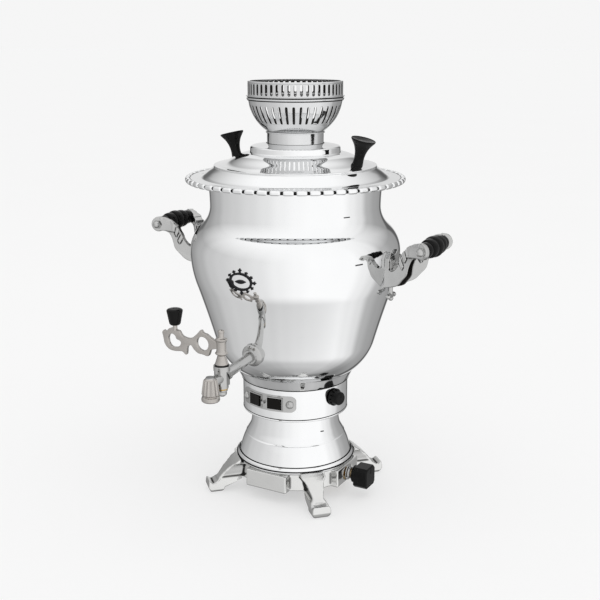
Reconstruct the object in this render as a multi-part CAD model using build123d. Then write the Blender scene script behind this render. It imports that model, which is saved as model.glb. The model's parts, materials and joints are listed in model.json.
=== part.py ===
from build123d import *
import os
from math import asin, atan2, copysign, cos, degrees, pi, radians, sin, sqrt, tan

os.makedirs("parts", exist_ok=True)

# Samovar for gas or mains heating: an urn with a central flue, a lid, a teapot crown,
# a lever tap, two side handles, a band with the controls and a cast foot.
# +Z up, floor at Z = 0, urn axis on X = Y = 0, tap toward -Y, handles on +X and -X.

# ---------------------------------------------------------------- clearances
FIT = 0.05            # radial clearance of a turning fit
SLIP = 0.1            # radial clearance of a fixed piece in its hole
LOOSE = 0.4           # gap between pieces that lift apart
UP = (Align.CENTER, Align.CENTER, Align.MIN)
DOWN = (Align.CENTER, Align.CENTER, Align.MAX)

# ---------------------------------------------------------------- foot casting
FEET_RADIUS = 98.0    # from the axis to the middle of a toe
PANEL_REACH = 68.6    # from the axis to the outside of a flat panel
PANEL_HALF = 25.7     # half the width of a flat panel
PANEL_BOTTOM = 14.8   # floor to the lower edge of the casting
CASTING_HEIGHT = 19.8
CASTING_RADIUS = 64.2
CASTING_WALL = 3.0
DECK_HOLE = 52.0      # radius of the opening through the deck
TOE_WIDTH = 21.0
TOE_HEIGHT = 13.5
ANKLE_WIDTH = 12.5
THIGH_WIDTH = 28.0
LEG_ROOT = 38.5       # height of a leg where it meets the rolled ring
OVAL_WIDTH = 21.0     # opening for the gas valve
OVAL_HEIGHT = 15.0

# ---------------------------------------------------------------- ring, skirt, band
RING_RADIUS = 67.4
RING_HEIGHT = 7.9
RING_BORE = 58.0
SKIRT_FOOT = 64.2
SKIRT_NECK = 49.6
SKIRT_HEIGHT = 51.5
SKIRT_WALL = 1.2
BAND_RADIUS = 59.8
BAND_HEIGHT = 37.2
BAND_WALL = 1.2
BAND_SEAM = 0.3       # dark seam between the band and the urn
DUCT_RADIUS = 38.2
DUCT_WALL = 1.0

# ---------------------------------------------------------------- urn
FOOT_RIM_RADIUS = 61.5
FOOT_RIM_HEIGHT = 12.1
FOLD_RADIUS = 67.6
BELLY_RADIUS = 115.8
BELLY_RISE = 133.4    # fold to the widest line
NECK_RADIUS = 93.4
NECK_RISE = 50.0      # widest line to the narrowest line of the neck
MOUTH_RADIUS = 95.0
MOUTH_RISE = 25.0     # narrowest line to the open edge
URN_WALL = 1.2
FLANK_FOOT_RADIUS = 89.5   # where the flank's foot curve meets its long middle curve
FLANK_FOOT_RISE = 32.4     # above the fold
FLANK_TOP_RADIUS = 109.8   # where the middle curve meets the curve of the belly
FLANK_TOP_RISE = 97.4      # above the fold
SHOULDER_BEND = 37.5       # radius of the curve from the belly into the shoulder
TANK_FLOOR = 1.2
FLUE_RADIUS = 22.0
FLUE_WALL = 1.0
FLUE_ABOVE_MOUTH = 52.0

# ---------------------------------------------------------------- gallery
GALLERY_RISE = 17.4   # urn mouth to the seat of the lid
GALLERY_BORE = 85.4
GALLERY_LIP = 88.6
GALLERY_EDGE = 113.8
GALLERY_SPIGOT = 8.0
SPIGOT_GAP = 0.3      # radial gap between the spigot and the urn's neck
GALLERY_SHEET = 1.6
EDGE_RISE = 2.0       # underside of the dish edge above the urn mouth
EDGE_THICK = 3.6
BEAD_COUNT = 56
BEAD_LENGTH = 10.6
BEAD_HEIGHT = 5.6
BEAD_CIRCLE = 116.6

# ---------------------------------------------------------------- lid
LID_RADIUS = 88.4
LID_THICK = 1.4
LID_STEP_RADIUS = 48.6
LID_STEP_HEIGHT = 6.5
LID_RISE = 13.2       # dome from its seat to the foot of the step
LID_PLUG_DEPTH = 9.0
LID_PLUG_WALL = 1.2
LID_HOLE = 24.0
KNOB_CIRCLE = 74.5    # lid knob foot from the axis
KNOB_LENGTH = 27.5
KNOB_TOP = 13.0
KNOB_SCREW = 2.0
KNOB_STEM = 5.2
KNOB_TILT = 14.0

# ---------------------------------------------------------------- crown
COLLAR_RADIUS = 30.6
COLLAR_HEIGHT = 15.8
CROWN_WALL = 1.2
BOWL_RADIUS = 50.6
BOWL_HEIGHT = 34.5
BOWL_SLOTS = 40
BOWL_SLOT_WIDTH = 2.4
BAND_SLOTS = 50
BAND_SLOT_WIDTH = 2.9
BAND_SLOT_HEIGHT = 11.2
CROWN_RADIUS = 51.0
CROWN_BAND_HEIGHT = 15.0
CROWN_BEAD_HEIGHT = 3.4
CROWN_BEAD_REACH = 52.9
CROWN_BEADS = 64

# ---------------------------------------------------------------- handles
GRIP_REACH = 162.2    # axis to the centre line of a grip
GRIP_HEIGHT = 295.5
GRIP_RADIUS = 11.2
GRIP_RINGS = 5
GRIP_FALL = 1.6       # the end rings are this much smaller than the middle one
GRIP_GROOVE = 2.2
ARM_HALF = 31.2       # half the distance between the two arms at the grip
ARM_THICK = 5.0
ARM_FOOT = 28.0       # height of an arm where it leaves the shield
ARM_ROOT = 9.0        # half the distance between the arms at the shield
ARM_BOSS = 8.6
ARM_RIBS = 5
RIB_WIDTH = 1.6
RIB_PROUD = 0.8
SHIELD_TOP = 287.0
SHIELD_HEIGHT = 38.0
SHIELD_HALF = 15.0
SHIELD_THICK = 5.0
ROD_RADIUS = 2.5
NUT_RADIUS = 5.2
FINIAL_DROP = 11.0    # from the shield's lower point to the cross bar
FINIAL_PIN = 1.6

# ---------------------------------------------------------------- medallion
MEDALLION_LEVEL = 265.0
MEDALLION_RADIUS = 17.6
MEDALLION_PROUD = 1.6
MEDALLION_PETALS = 12
PETAL_RADIUS = 2.8

# ---------------------------------------------------------------- tap
TAP_REACH = 152.0     # axis to the centre of the plug
TAP_HEIGHT = 173.0    # centre of the plug's water way
TAP_ROOT_RISE = 6.5   # the tube falls this much on its way to the plug
TUBE_RADIUS = 5.4
WATER_WAY = 6.4
TAP_FLANGE_RADIUS = 12.0
TAP_FLANGE_THICK = 3.0
BLOCK_HALF = 7.4
BLOCK_HEIGHT = 15.0
TAP_COLLAR_RADIUS = 8.5
TAP_COLLAR_HEIGHT = 5.0
TAP_LOWER_RADIUS = 6.6
TAP_LOWER_HEIGHT = 3.6
TAP_NUT_START = 8.6
PLUG_TOP = 5.6        # radius of the tapered plug at the top of its bore
PLUG_TAPER = 1.2
PLUG_TAIL = 3.2       # radius of the plug's tail
STEM_RADIUS = 4.2
STEM_HEIGHT = 13.0
HUB_RADIUS = 6.4
HUB_HEIGHT = 15.5
SPOUT_REACH = 21.0    # plug centre to the nozzle centre
NOZZLE_HEIGHT = 25.0
NOZZLE_TOP = 6.2
NOZZLE_BASE = 9.4
NOZZLE_CORE = 4.6
LEVER_THICK = 3.0
LEVER_DEPTH = 3.0
LEVER_TANG = 9.0
LEVER_DROP = -2.0
LEVER_NECK = 4.5
LEVER_PIN = 2.0
LEVER_INNER_RING = 18.5
LEVER_OUTER_RING = 54.0
INNER_RING_RADIUS = 9.6
OUTER_RING_RADIUS = 11.2
RING_HOLE = 6.2
LEVER_KNOB_RADIUS = 8.0
LEVER_KNOB_HEIGHT = 17.5

# ---------------------------------------------------------------- controls
PANEL_MIDDLE = -5.0   # turned from the front toward +X, degrees
PANEL_SPREAD = 35.0   # half the panel's arc, degrees
PANEL_DEPTH = 1.2
PANEL_HEIGHT = 18.0
PANEL_LEVEL = 115.6
ROCKER_SPREAD = 12.0  # each rocker from the panel's middle, degrees
ROCKER_WIDTH = 16.6
ROCKER_HEIGHT = 12.4
ROCKER_PROUD = 0.8    # the level key's ends over the housing
ROCKER_REST = 5.0     # tilt of a key to either side, degrees
ROCKER_AXLE = 3.2     # depth of the axle under the housing's face
ROCKER_GAP = 0.5      # more room at the key's swinging ends
AXLE_RADIUS = 1.0
BEZEL_WALL = 1.2
BEZEL_PROUD = 0.9     # the housing over the panel
SWITCH_DEPTH = 11.0
PANEL_SHANK = 1.6     # radius of the panel screws
DOME_SPREAD = 28.2
DOME_RADIUS = 4.5
THERMOSTAT_TURN = 74.0
THERMO_SHAFT = 2.6
BULB_TURN = 105.0
BULB_RADIUS = 54.0
THERMO_NECK = 5.0
THERMOSTAT_LEVEL = 118.6
THERMOSTAT_KNOB = 9.8
THERMOSTAT_REACH = 11.0

# ---------------------------------------------------------------- gas
VALVE_LEVEL = 24.0
VALVE_LENGTH = 22.0
VALVE_NOSE = 9.6
VALVE_END_WALL = 4.0
VALVE_NECK = 5.0      # radius of the nose through the panel
VALVE_RADIUS = 7.0
VALVE_STEM = 3.0
STEM_IN_KNOB = 12.0
GAS_KNOB_SIZE = 23.6
GAS_KNOB_LENGTH = 20.5
KNOB_SKIRT = 4.0
KNOB_CUT = 3.4
GAS_PUSH = 3.0
BURNER_RADIUS = 24.0
BOLT_RADIUS = 2.0
BRACKET_BOLT = 54.6   # burner bracket bolts from the axis
BRACKET_TURN = 45.0
BRACKET_THICK = 2.6
BURNER_LEVEL = 60.0
RISER_RADIUS = 7.0
BARB_LENGTH = 24.0
BARB_RADIUS = 4.6
PIPE_RADIUS = 3.0

# ---------------------------------------------------------------- electric heater
HEATER_CIRCLE = 47.0
HEATER_TUBE = 3.8
HEATER_LEVEL = 14.0   # above the tank floor
HEATER_TURN = 150.0   # where the heater's legs pass the tank floor, degrees from the front
INLET_HALF = 13.0
INLET_HEIGHT = 19.0
INLET_PROUD = 5.0

# ---------------------------------------------------------------- heights from the floor
DECK_Z = PANEL_BOTTOM + CASTING_HEIGHT
RING_Z = DECK_Z + RING_HEIGHT
BAND_Z = RING_Z + SKIRT_HEIGHT
BAND_TOP = BAND_Z + BAND_HEIGHT
URN_Z = BAND_TOP + BAND_SEAM
FOLD_Z = URN_Z + FOOT_RIM_HEIGHT
BELLY_Z = FOLD_Z + BELLY_RISE
NECK_Z = BELLY_Z + NECK_RISE
MOUTH_Z = NECK_Z + MOUTH_RISE
SEAT_Z = MOUTH_Z + GALLERY_RISE
LID_STEP_Z = SEAT_Z + LID_THICK + LID_RISE
CROWN_Z = LID_STEP_Z + LID_STEP_HEIGHT
BOWL_Z = CROWN_Z + COLLAR_HEIGHT
BEADS_Z = BOWL_Z + BOWL_HEIGHT
CROWN_BAND_Z = BEADS_Z + CROWN_BEAD_HEIGHT
CROWN_TOP = CROWN_BAND_Z + CROWN_BAND_HEIGHT


SEAM_TURN = 112.0


# ---------------------------------------------------------------- helpers
def save(name, *solids):
    # one STEP file for one named piece or one group of like pieces
    shapes = []
    for solid in solids:
        shapes.extend(solid.solids())
    whole = shapes[0] if len(shapes) == 1 else Compound(children=shapes)
    export_step(whole, f"parts/{name}.step")
    print(name, len(shapes), round(sum(s.volume for s in shapes) / 1000, 2), "cm3")


def front_turn(angle):
    # a rotation that carries the front (-Y) by an angle toward +X
    return Rot(0, 0, angle)


def outward(angle, radius, z):
    # a frame on the front side turned by angle: its Z axis points away from the urn
    return front_turn(angle) * Pos(0, -radius, z) * Rot(90, 0, 0)


def turned(profile):
    # a solid of revolution about Z from a closed outline in X (radius) and Z,
    # with its seam turned away from the pieces that are cut through the wall
    return Rot(0, 0, SEAM_TURN) * revolve(make_face(profile), Axis.Z, 360)


def polygon(*points):
    return Polyline(*[(r, 0, z) for r, z in points], close=True)


def ring(inner, outer, bottom, top):
    return Pos(0, 0, (bottom + top) / 2) * (Cylinder(outer, top - bottom) - Cylinder(inner, top - bottom))


def disc(radius, bottom, top):
    return Pos(0, 0, (bottom + top) / 2) * Cylinder(radius, top - bottom)


def polar(count, piece, start=0.0):
    return [front_turn(start + 360 * i / count) * piece for i in range(count)]


def without(body, cutters):
    # cuts many tools out of a body in one step
    return body.cut(*[s for c in cutters for s in c.solids()])


def curve(points, first=None, last=None):
    pts = [(r, 0, z) for r, z in points]
    if first is None:
        return Spline(*pts)
    return Spline(*pts, tangents=[(first[0], 0, first[1]), (last[0], 0, last[1])])


# ---------------------------------------------------------------- urn
def urn_arcs():
    # the urn's profile as arcs that meet tangentially, from the fold up to the mouth
    fold = (FOLD_RADIUS, 0, FOLD_Z)
    flank_foot = (FLANK_FOOT_RADIUS, 0, FOLD_Z + FLANK_FOOT_RISE)
    flank_top = (FLANK_TOP_RADIUS, 0, FOLD_Z + FLANK_TOP_RISE)
    belly = (BELLY_RADIUS, 0, BELLY_Z)
    neck = (NECK_RADIUS, 0, NECK_Z)
    below_belly = TangentArc(belly, flank_top, tangent=(0, 0, -1))
    middle = TangentArc(flank_top, flank_foot, tangent=below_belly % 1)
    foot_curve = TangentArc(flank_foot, fold, tangent=middle % 1)
    narrowing = BELLY_RADIUS - NECK_RADIUS
    turn = asin(2 * narrowing * NECK_RISE / (narrowing ** 2 + NECK_RISE ** 2))
    bend_end = (BELLY_RADIUS - SHOULDER_BEND * (1 - cos(turn)), 0, BELLY_Z + SHOULDER_BEND * sin(turn))
    shoulder = TangentArc(belly, bend_end, tangent=(0, 0, 1))
    into_neck = TangentArc(bend_end, neck, tangent=shoulder % 1)
    flare = TangentArc(neck, (MOUTH_RADIUS, 0, MOUTH_Z), tangent=(0, 0, 1))
    return [foot_curve, middle, below_belly, shoulder, into_neck, flare]


URN_ARCS = urn_arcs()


def shifted_arc(arc, shift):
    # the arc moved squarely away from the urn's axis side, or toward it if shift is negative
    spots = []
    for share in (0, 0.5, 1):
        along = arc % share
        outward_side = Vector(abs(along.Z), 0, -along.X * copysign(1, along.Z))
        spots.append(arc @ share + outward_side * shift)
    return ThreePointArc(*spots)


def joined(edges):
    line = edges[0]
    for edge in edges[1:]:
        line = line + edge
    return line


def urn_line(shift=0.0):
    # the profile at a distance outside the wall's outer face, with its lower and upper ends
    arcs = [shifted_arc(arc, shift) for arc in URN_ARCS]
    ends = sorted([arc @ share for arc in arcs for share in (0, 1)], key=lambda point: point.Z)
    return joined(arcs), ends[0], ends[-1]


def urn_radius(z):
    # outer radius of the urn at a height
    for arc in URN_ARCS:
        low, high = sorted([(arc @ 0).Z, (arc @ 1).Z])
        if low <= z <= high:
            centre = arc.arc_center
            side = copysign(1, (arc @ 0.5).X - centre.X)
            return centre.X + side * sqrt(arc.radius ** 2 - (z - centre.Z) ** 2)


def urn_filled(shift=0.0):
    # the urn's outer shape without its hollow, used to seat pieces on its wall
    line, low, high = urn_line(shift)
    return turned(line + Polyline(high, (0, 0, high.Z), (0, 0, low.Z), low))


def wall_layer(thick):
    # an even layer on the outside of the urn's wall
    inner, inner_low, inner_high = urn_line()
    outer, outer_low, outer_high = urn_line(thick)
    return turned(inner + Line(inner_high, outer_high) + outer + Line(outer_low, inner_low))


def urn_shell():
    outer, outer_low, outer_high = urn_line()
    inner, inner_low, inner_high = urn_line(-URN_WALL)
    rim = Polyline(inner_low, (FOOT_RIM_RADIUS - URN_WALL, 0, URN_Z),
                   (FOOT_RIM_RADIUS, 0, URN_Z), outer_low)
    wall = turned(outer + Line(outer_high, inner_high) + inner + rim)
    return wall - disc(BELLY_RADIUS, MOUTH_Z, MOUTH_Z + URN_WALL)


def tank_floor():
    edge = FOLD_RADIUS - URN_WALL - SLIP
    below = edge - (FOLD_RADIUS - FOOT_RIM_RADIUS) * TANK_FLOOR / FOOT_RIM_HEIGHT
    return turned(polygon(
        (FLUE_RADIUS + SLIP, FOLD_Z - TANK_FLOOR), (below, FOLD_Z - TANK_FLOOR),
        (edge, FOLD_Z), (FLUE_RADIUS + SLIP, FOLD_Z)
    ))


FLUE_TOP = MOUTH_Z + FLUE_ABOVE_MOUTH


def flue_tube():
    # a pipe with a welded foot flange under the tank floor
    pipe = ring(FLUE_RADIUS - FLUE_WALL, FLUE_RADIUS, FOLD_Z - 2 * TANK_FLOOR, FLUE_TOP)
    foot = ring(FLUE_RADIUS - FLUE_WALL, FLUE_RADIUS + 5, FOLD_Z - 2 * TANK_FLOOR, FOLD_Z - TANK_FLOOR)
    return pipe + foot


# ---------------------------------------------------------------- foot casting
CASTING_CORE = CASTING_RADIUS - CASTING_WALL


def leg():
    # the side outline (radius, height) and the front outline (width, height) cut each other
    root = CASTING_CORE + 0.5
    outside = FEET_RADIUS + 7.5
    heel = FEET_RADIUS - 11.5
    side = Polyline(
        (root, 0, PANEL_BOTTOM), (root, 0, DECK_Z - 0.5), (RING_RADIUS + LOOSE, 0, DECK_Z - 0.5),
        (RING_RADIUS + LOOSE, 0, LEG_ROOT)
    ) + Spline(
        (RING_RADIUS + LOOSE, 0, LEG_ROOT), (FEET_RADIUS - 15, 0, 2 * TOE_HEIGHT),
        (FEET_RADIUS - 4, 0, TOE_HEIGHT)
    ) + Polyline(
        (FEET_RADIUS - 4, 0, TOE_HEIGHT), (FEET_RADIUS + 1.5, 0, TOE_HEIGHT - 3.2),
        (outside - 1, 0, TOE_HEIGHT + 0.8), (outside, 0, 0.45 * TOE_HEIGHT), (outside - 3, 0, 0),
        (heel + 2, 0, 0), (heel, 0, 0.4 * TOE_HEIGHT)
    ) + Spline(
        (heel, 0, 0.4 * TOE_HEIGHT), (heel - 11, 0, 0.62 * PANEL_BOTTOM), (root, 0, PANEL_BOTTOM)
    )
    side_solid = extrude(make_face(side), THIGH_WIDTH, both=True)
    half_toe, half_ankle, half_thigh = TOE_WIDTH / 2, ANKLE_WIDTH / 2, THIGH_WIDTH / 2
    ankle_z = TOE_HEIGHT + 2.6
    right = Spline(
        (0, half_ankle, ankle_z), (0, half_ankle + 1.4, ankle_z + 6), (0, half_thigh, DECK_Z - 1),
        tangents=[(0, 0, 1), (0, 1, 0.5)]
    )
    left = mirror(right, Plane.XZ)
    front = right + left + Polyline(
        (0, half_thigh, DECK_Z - 1), (0, half_thigh, LEG_ROOT + 5), (0, -half_thigh, LEG_ROOT + 5),
        (0, -half_thigh, DECK_Z - 1)
    ) + Polyline(
        (0, half_ankle, ankle_z), (0, half_toe - 1.5, TOE_HEIGHT), (0, half_toe, TOE_HEIGHT - 4),
        (0, half_toe, 3), (0, half_toe - 2.5, 0), (0, -half_toe + 2.5, 0), (0, -half_toe, 3),
        (0, -half_toe, TOE_HEIGHT - 4), (0, -half_toe + 1.5, TOE_HEIGHT), (0, -half_ankle, ankle_z)
    )
    front_solid = extrude(make_face(front), 2 * FEET_RADIUS, both=True)
    return side_solid & front_solid


def foot_casting():
    mid = (PANEL_BOTTOM + DECK_Z) / 2
    body = disc(CASTING_RADIUS, PANEL_BOTTOM, DECK_Z)
    for side in range(4):
        panel = Pos(0, -PANEL_REACH / 2, mid) * Box(2 * PANEL_HALF, PANEL_REACH, CASTING_HEIGHT)
        body = body + front_turn(90 * side) * panel
    for side in range(4):
        body = body + Rot(0, 0, 45 + 90 * side) * leg()
    body = body - disc(CASTING_CORE, PANEL_BOTTOM - 20, DECK_Z - CASTING_WALL)
    body = body - disc(DECK_HOLE, DECK_Z - 2 * CASTING_WALL, DECK_Z + 1)
    oval = SlotOverall(OVAL_WIDTH, OVAL_HEIGHT)
    body = body - outward(90, PANEL_REACH - 15, VALVE_LEVEL) * extrude(oval, 30)
    inlet = outward(180, PANEL_REACH - 15, VALVE_LEVEL) * extrude(Circle(BARB_RADIUS + SLIP), 30)
    body = body - inlet
    for side in (-1, 1):
        body = body - front_turn(BRACKET_TURN) * Pos(0, side * BRACKET_BOLT, DECK_Z) * Cylinder(
            BOLT_RADIUS + SLIP, 3 * CASTING_WALL)
    return body


def base_ring():
    # a rolled ring with a rounded outer face
    outline = Polyline(
        (RING_BORE, 0, RING_Z), (RING_BORE, 0, DECK_Z), (RING_RADIUS - 1.6, 0, DECK_Z)
    ) + Spline(
        (RING_RADIUS - 1.6, 0, DECK_Z), (RING_RADIUS, 0, DECK_Z + 0.36 * RING_HEIGHT),
        (RING_RADIUS - 0.5, 0, DECK_Z + 0.74 * RING_HEIGHT), (RING_RADIUS - 2.2, 0, RING_Z)
    ) + Line((RING_RADIUS - 2.2, 0, RING_Z), (RING_BORE, 0, RING_Z))
    return turned(outline)


def skirt():
    # a bell with one pressed groove, rising to a straight neck
    groove_z = RING_Z + 0.41 * SKIRT_HEIGHT
    span = SKIRT_FOOT - SKIRT_NECK
    lower = [(SKIRT_FOOT, RING_Z), (SKIRT_NECK + 0.75 * span, RING_Z + 0.23 * SKIRT_HEIGHT),
             (SKIRT_NECK + 0.49 * span, groove_z)]
    upper = [(SKIRT_NECK + 0.42 * span, groove_z + 1.6),
             (SKIRT_NECK + 0.11 * span, RING_Z + 0.63 * SKIRT_HEIGHT), (SKIRT_NECK, BAND_Z - 6)]

    def inset(points):
        return [(r - SKIRT_WALL, z) for r, z in reversed(points)]

    top_in = SKIRT_NECK - SKIRT_WALL
    outline = (
        curve(lower) + Line((lower[-1][0], 0, lower[-1][1]), (upper[0][0], 0, upper[0][1]))
        + curve(upper) + Polyline((SKIRT_NECK, 0, BAND_Z - 6), (SKIRT_NECK, 0, BAND_Z),
                                  (top_in, 0, BAND_Z), (top_in, 0, BAND_Z - 6))
        + curve(inset(upper))
        + Line((upper[0][0] - SKIRT_WALL, 0, upper[0][1]), (lower[-1][0] - SKIRT_WALL, 0, lower[-1][1]))
        + curve(inset(lower)) + Line((SKIRT_FOOT - SKIRT_WALL, 0, RING_Z), (SKIRT_FOOT, 0, RING_Z))
    )
    return turned(outline)


# ---------------------------------------------------------------- control band
def rocker_turns():
    return [PANEL_MIDDLE - ROCKER_SPREAD, PANEL_MIDDLE + ROCKER_SPREAD]


def dome_turns():
    return [PANEL_MIDDLE - DOME_SPREAD, PANEL_MIDDLE + DOME_SPREAD]


def control_band():
    outer = BAND_RADIUS
    bead = 2.6
    outline = Polyline(
        (DUCT_RADIUS - DUCT_WALL, 0, BAND_Z), (outer - 2.2, 0, BAND_Z)
    ) + Spline(
        (outer - 2.2, 0, BAND_Z), (outer + 0.3, 0, BAND_Z + 0.5 * bead), (outer - 0.5, 0, BAND_Z + bead)
    ) + Polyline(
        (outer - 0.5, 0, BAND_Z + bead), (outer, 0, BAND_Z + bead + 0.8), (outer, 0, BAND_TOP),
        (outer - BAND_WALL, 0, BAND_TOP), (outer - BAND_WALL, 0, BAND_Z + bead + 1.2),
        (outer - 3.2, 0, BAND_Z + BAND_WALL), (DUCT_RADIUS - DUCT_WALL, 0, BAND_Z + BAND_WALL),
        (DUCT_RADIUS - DUCT_WALL, 0, BAND_Z)
    )
    band = turned(outline)
    cutters = []
    for turn in rocker_turns():
        wide = ROCKER_WIDTH + 2 * BEZEL_WALL + 2 * SLIP
        tall = ROCKER_HEIGHT + 2 * BEZEL_WALL + 2 * SLIP
        cutters.append(outward(turn, outer, PANEL_LEVEL) * Box(wide, tall, 14))
    for turn in dome_turns() + [PANEL_MIDDLE]:
        cutters.append(outward(turn, outer, PANEL_LEVEL) * Cylinder(PANEL_SHANK + SLIP, 14))
    cutters.append(outward(THERMOSTAT_TURN, outer, THERMOSTAT_LEVEL) * Cylinder(THERMO_NECK + SLIP, 14))
    cutters.append(outward(180, outer, INLET_LEVEL) * Box(2 * INLET_HALF - 6, INLET_HEIGHT - 6, 14))
    return without(band, cutters)


INLET_LEVEL = BAND_Z + BAND_HEIGHT / 2


def heat_duct():
    # keeps the flame away from the wiring between the band's floor and the tank
    top = FOLD_Z - 2 * TANK_FLOOR
    return ring(DUCT_RADIUS - DUCT_WALL, DUCT_RADIUS, BAND_Z + BAND_WALL, top) \
        + ring(FLUE_RADIUS + 6, DUCT_RADIUS, top, FOLD_Z - TANK_FLOOR)


def arc_plate(radius, thick, height, level, middle, spread, corner):
    # a curved plate on the band with rounded corners
    wall = ring(radius, radius + thick, level - height, level + height)
    width = 2 * radius * sin(radians(spread))
    sketch = RectangleRounded(width, height, corner)
    window = outward(middle, 0, level) * extrude(sketch, 2 * radius)
    return wall & window


def switch_panel():
    plate = arc_plate(BAND_RADIUS, PANEL_DEPTH, PANEL_HEIGHT, PANEL_LEVEL, PANEL_MIDDLE, PANEL_SPREAD, 5.0)
    cutters = []
    for turn in rocker_turns():
        wide = ROCKER_WIDTH + 2 * BEZEL_WALL + 2 * SLIP
        tall = ROCKER_HEIGHT + 2 * BEZEL_WALL + 2 * SLIP
        cutters.append(outward(turn, BAND_RADIUS, PANEL_LEVEL) * Box(wide, tall, 14))
    for turn in dome_turns() + [PANEL_MIDDLE]:
        cutters.append(outward(turn, BAND_RADIUS, PANEL_LEVEL) * Cylinder(PANEL_SHANK + SLIP, 14))
    return without(plate, cutters)


PANEL_FACE = BAND_RADIUS + PANEL_DEPTH


def panel_screw(turn, head):
    shank = Pos(0, 0, -4) * Cylinder(PANEL_SHANK, 8, align=UP)
    cap = Cylinder(head, 1.0, align=UP)
    ball_r = (head * head + (0.62 * head) ** 2) / (2 * 0.62 * head)
    ball = Pos(0, 0, 1.0 + 0.62 * head - ball_r) * Sphere(ball_r)
    crown = ball & (Pos(0, 0, 1.0) * Cylinder(head, head, align=UP))
    screw = shank + cap + crown
    placed = outward(turn, PANEL_FACE - 0.35, PANEL_LEVEL) * screw
    inside = disc(PANEL_FACE, PANEL_LEVEL - 30, PANEL_LEVEL + 30) - placed_shank(turn)
    return placed - inside


def placed_shank(turn):
    return outward(turn, PANEL_FACE - 10, PANEL_LEVEL) * Cylinder(PANEL_SHANK, 20, align=UP)


def switch_frame(turn):
    # the rocker's housing: a bezel on the panel and an open tray with two pivot holes
    wide = ROCKER_WIDTH + 2 * BEZEL_WALL
    tall = ROCKER_HEIGHT + 2 * BEZEL_WALL
    front = PANEL_FACE + BEZEL_PROUD
    body = Pos(0, 0, -SWITCH_DEPTH / 2) * Box(wide, tall, SWITCH_DEPTH)
    bezel = Pos(0, 0, -0.3) * Box(wide + 0.001, tall + 0.001, 0.6)
    hollow = Pos(0, 0, -SWITCH_DEPTH / 2 + 1.2) * Box(
        ROCKER_WIDTH + 2 * LOOSE, ROCKER_HEIGHT + 2 * LOOSE - 0.3, SWITCH_DEPTH)
    pivot = Pos(0, 0, -ROCKER_AXLE) * Rot(90, 0, 0) * Cylinder(AXLE_RADIUS + FIT, tall - 0.8)
    return outward(turn, front, PANEL_LEVEL) * (body + bezel - hollow - pivot)


def rocker(turn):
    # a two-faced key on a short vertical axle, its left half pressed in
    half, tall = ROCKER_WIDTH / 2, ROCKER_HEIGHT / 2 - 0.3
    reach = half + LOOSE - ROCKER_GAP
    face = Polyline(
        (-reach, 0, ROCKER_PROUD), (0, 0, ROCKER_PROUD - 0.2), (reach, 0, ROCKER_PROUD),
        (reach - 0.6, 0, -3.6), (2.0, 0, -5.6), (-2.0, 0, -5.6), (-reach + 0.6, 0, -3.6), close=True
    )
    body = extrude(make_face(face), tall, both=True)
    axle = Pos(0, 0, -ROCKER_AXLE) * Rot(90, 0, 0) * Cylinder(
        AXLE_RADIUS, ROCKER_HEIGHT + 2 * BEZEL_WALL - 1.6)
    tilt = Pos(0, 0, -ROCKER_AXLE) * Rot(0, -ROCKER_REST, 0) * Pos(0, 0, ROCKER_AXLE)
    return outward(turn, PANEL_FACE + BEZEL_PROUD, PANEL_LEVEL) * tilt * (body + axle)


def switch_terminals(turn):
    blades = []
    for side in (-1, 0, 1):
        blades.append(outward(turn, PANEL_FACE + BEZEL_PROUD - SWITCH_DEPTH, PANEL_LEVEL)
                      * Pos(side * 5.2, 0, -3.5) * Box(0.8, 4.8, 7))
    return blades


# ---------------------------------------------------------------- thermostat
def thermostat_body():
    case = Pos(0, 0, -9) * Box(15, 15, 12)
    neck = Pos(0, 0, -3) * Cylinder(THERMO_NECK, 7.2)
    bore = Pos(0, 0, -3) * Cylinder(THERMO_SHAFT + FIT, 11)
    return outward(THERMOSTAT_TURN, BAND_RADIUS, THERMOSTAT_LEVEL) * (case + neck - bore)


def thermostat_knob():
    r = THERMOSTAT_KNOB
    outline = Polyline(
        (0, 0, 1.0), (r, 0, 1.0), (r, 0, 2.6), (r - 1.6, 0, 3.6), (r - 2.4, 0, THERMOSTAT_REACH - 1.2),
        (r - 3.4, 0, THERMOSTAT_REACH), (0, 0, THERMOSTAT_REACH), close=True
    )
    cap = turned(outline)
    for side in polar(12, Pos(0, -(r - 1.0), THERMOSTAT_REACH / 2 + 2) * Cylinder(0.9, THERMOSTAT_REACH)):
        cap = cap - side
    line = Pos(0, (r - 3) / 2 + 0.6, THERMOSTAT_REACH) * Box(1.0, r - 4, 0.8)
    shaft = Pos(0, 0, -3.2) * Cylinder(THERMO_SHAFT, 9)
    return outward(THERMOSTAT_TURN, BAND_RADIUS, THERMOSTAT_LEVEL) * (cap + shaft - line)


def thermostat_bulb():
    # a sensing bulb clipped against the tank floor from below
    bulb = outward(BULB_TURN, BULB_RADIUS, FOLD_Z - TANK_FLOOR - 3.0) * Rot(0, 90, 0) * Cylinder(3.0, 16)
    return bulb


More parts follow.
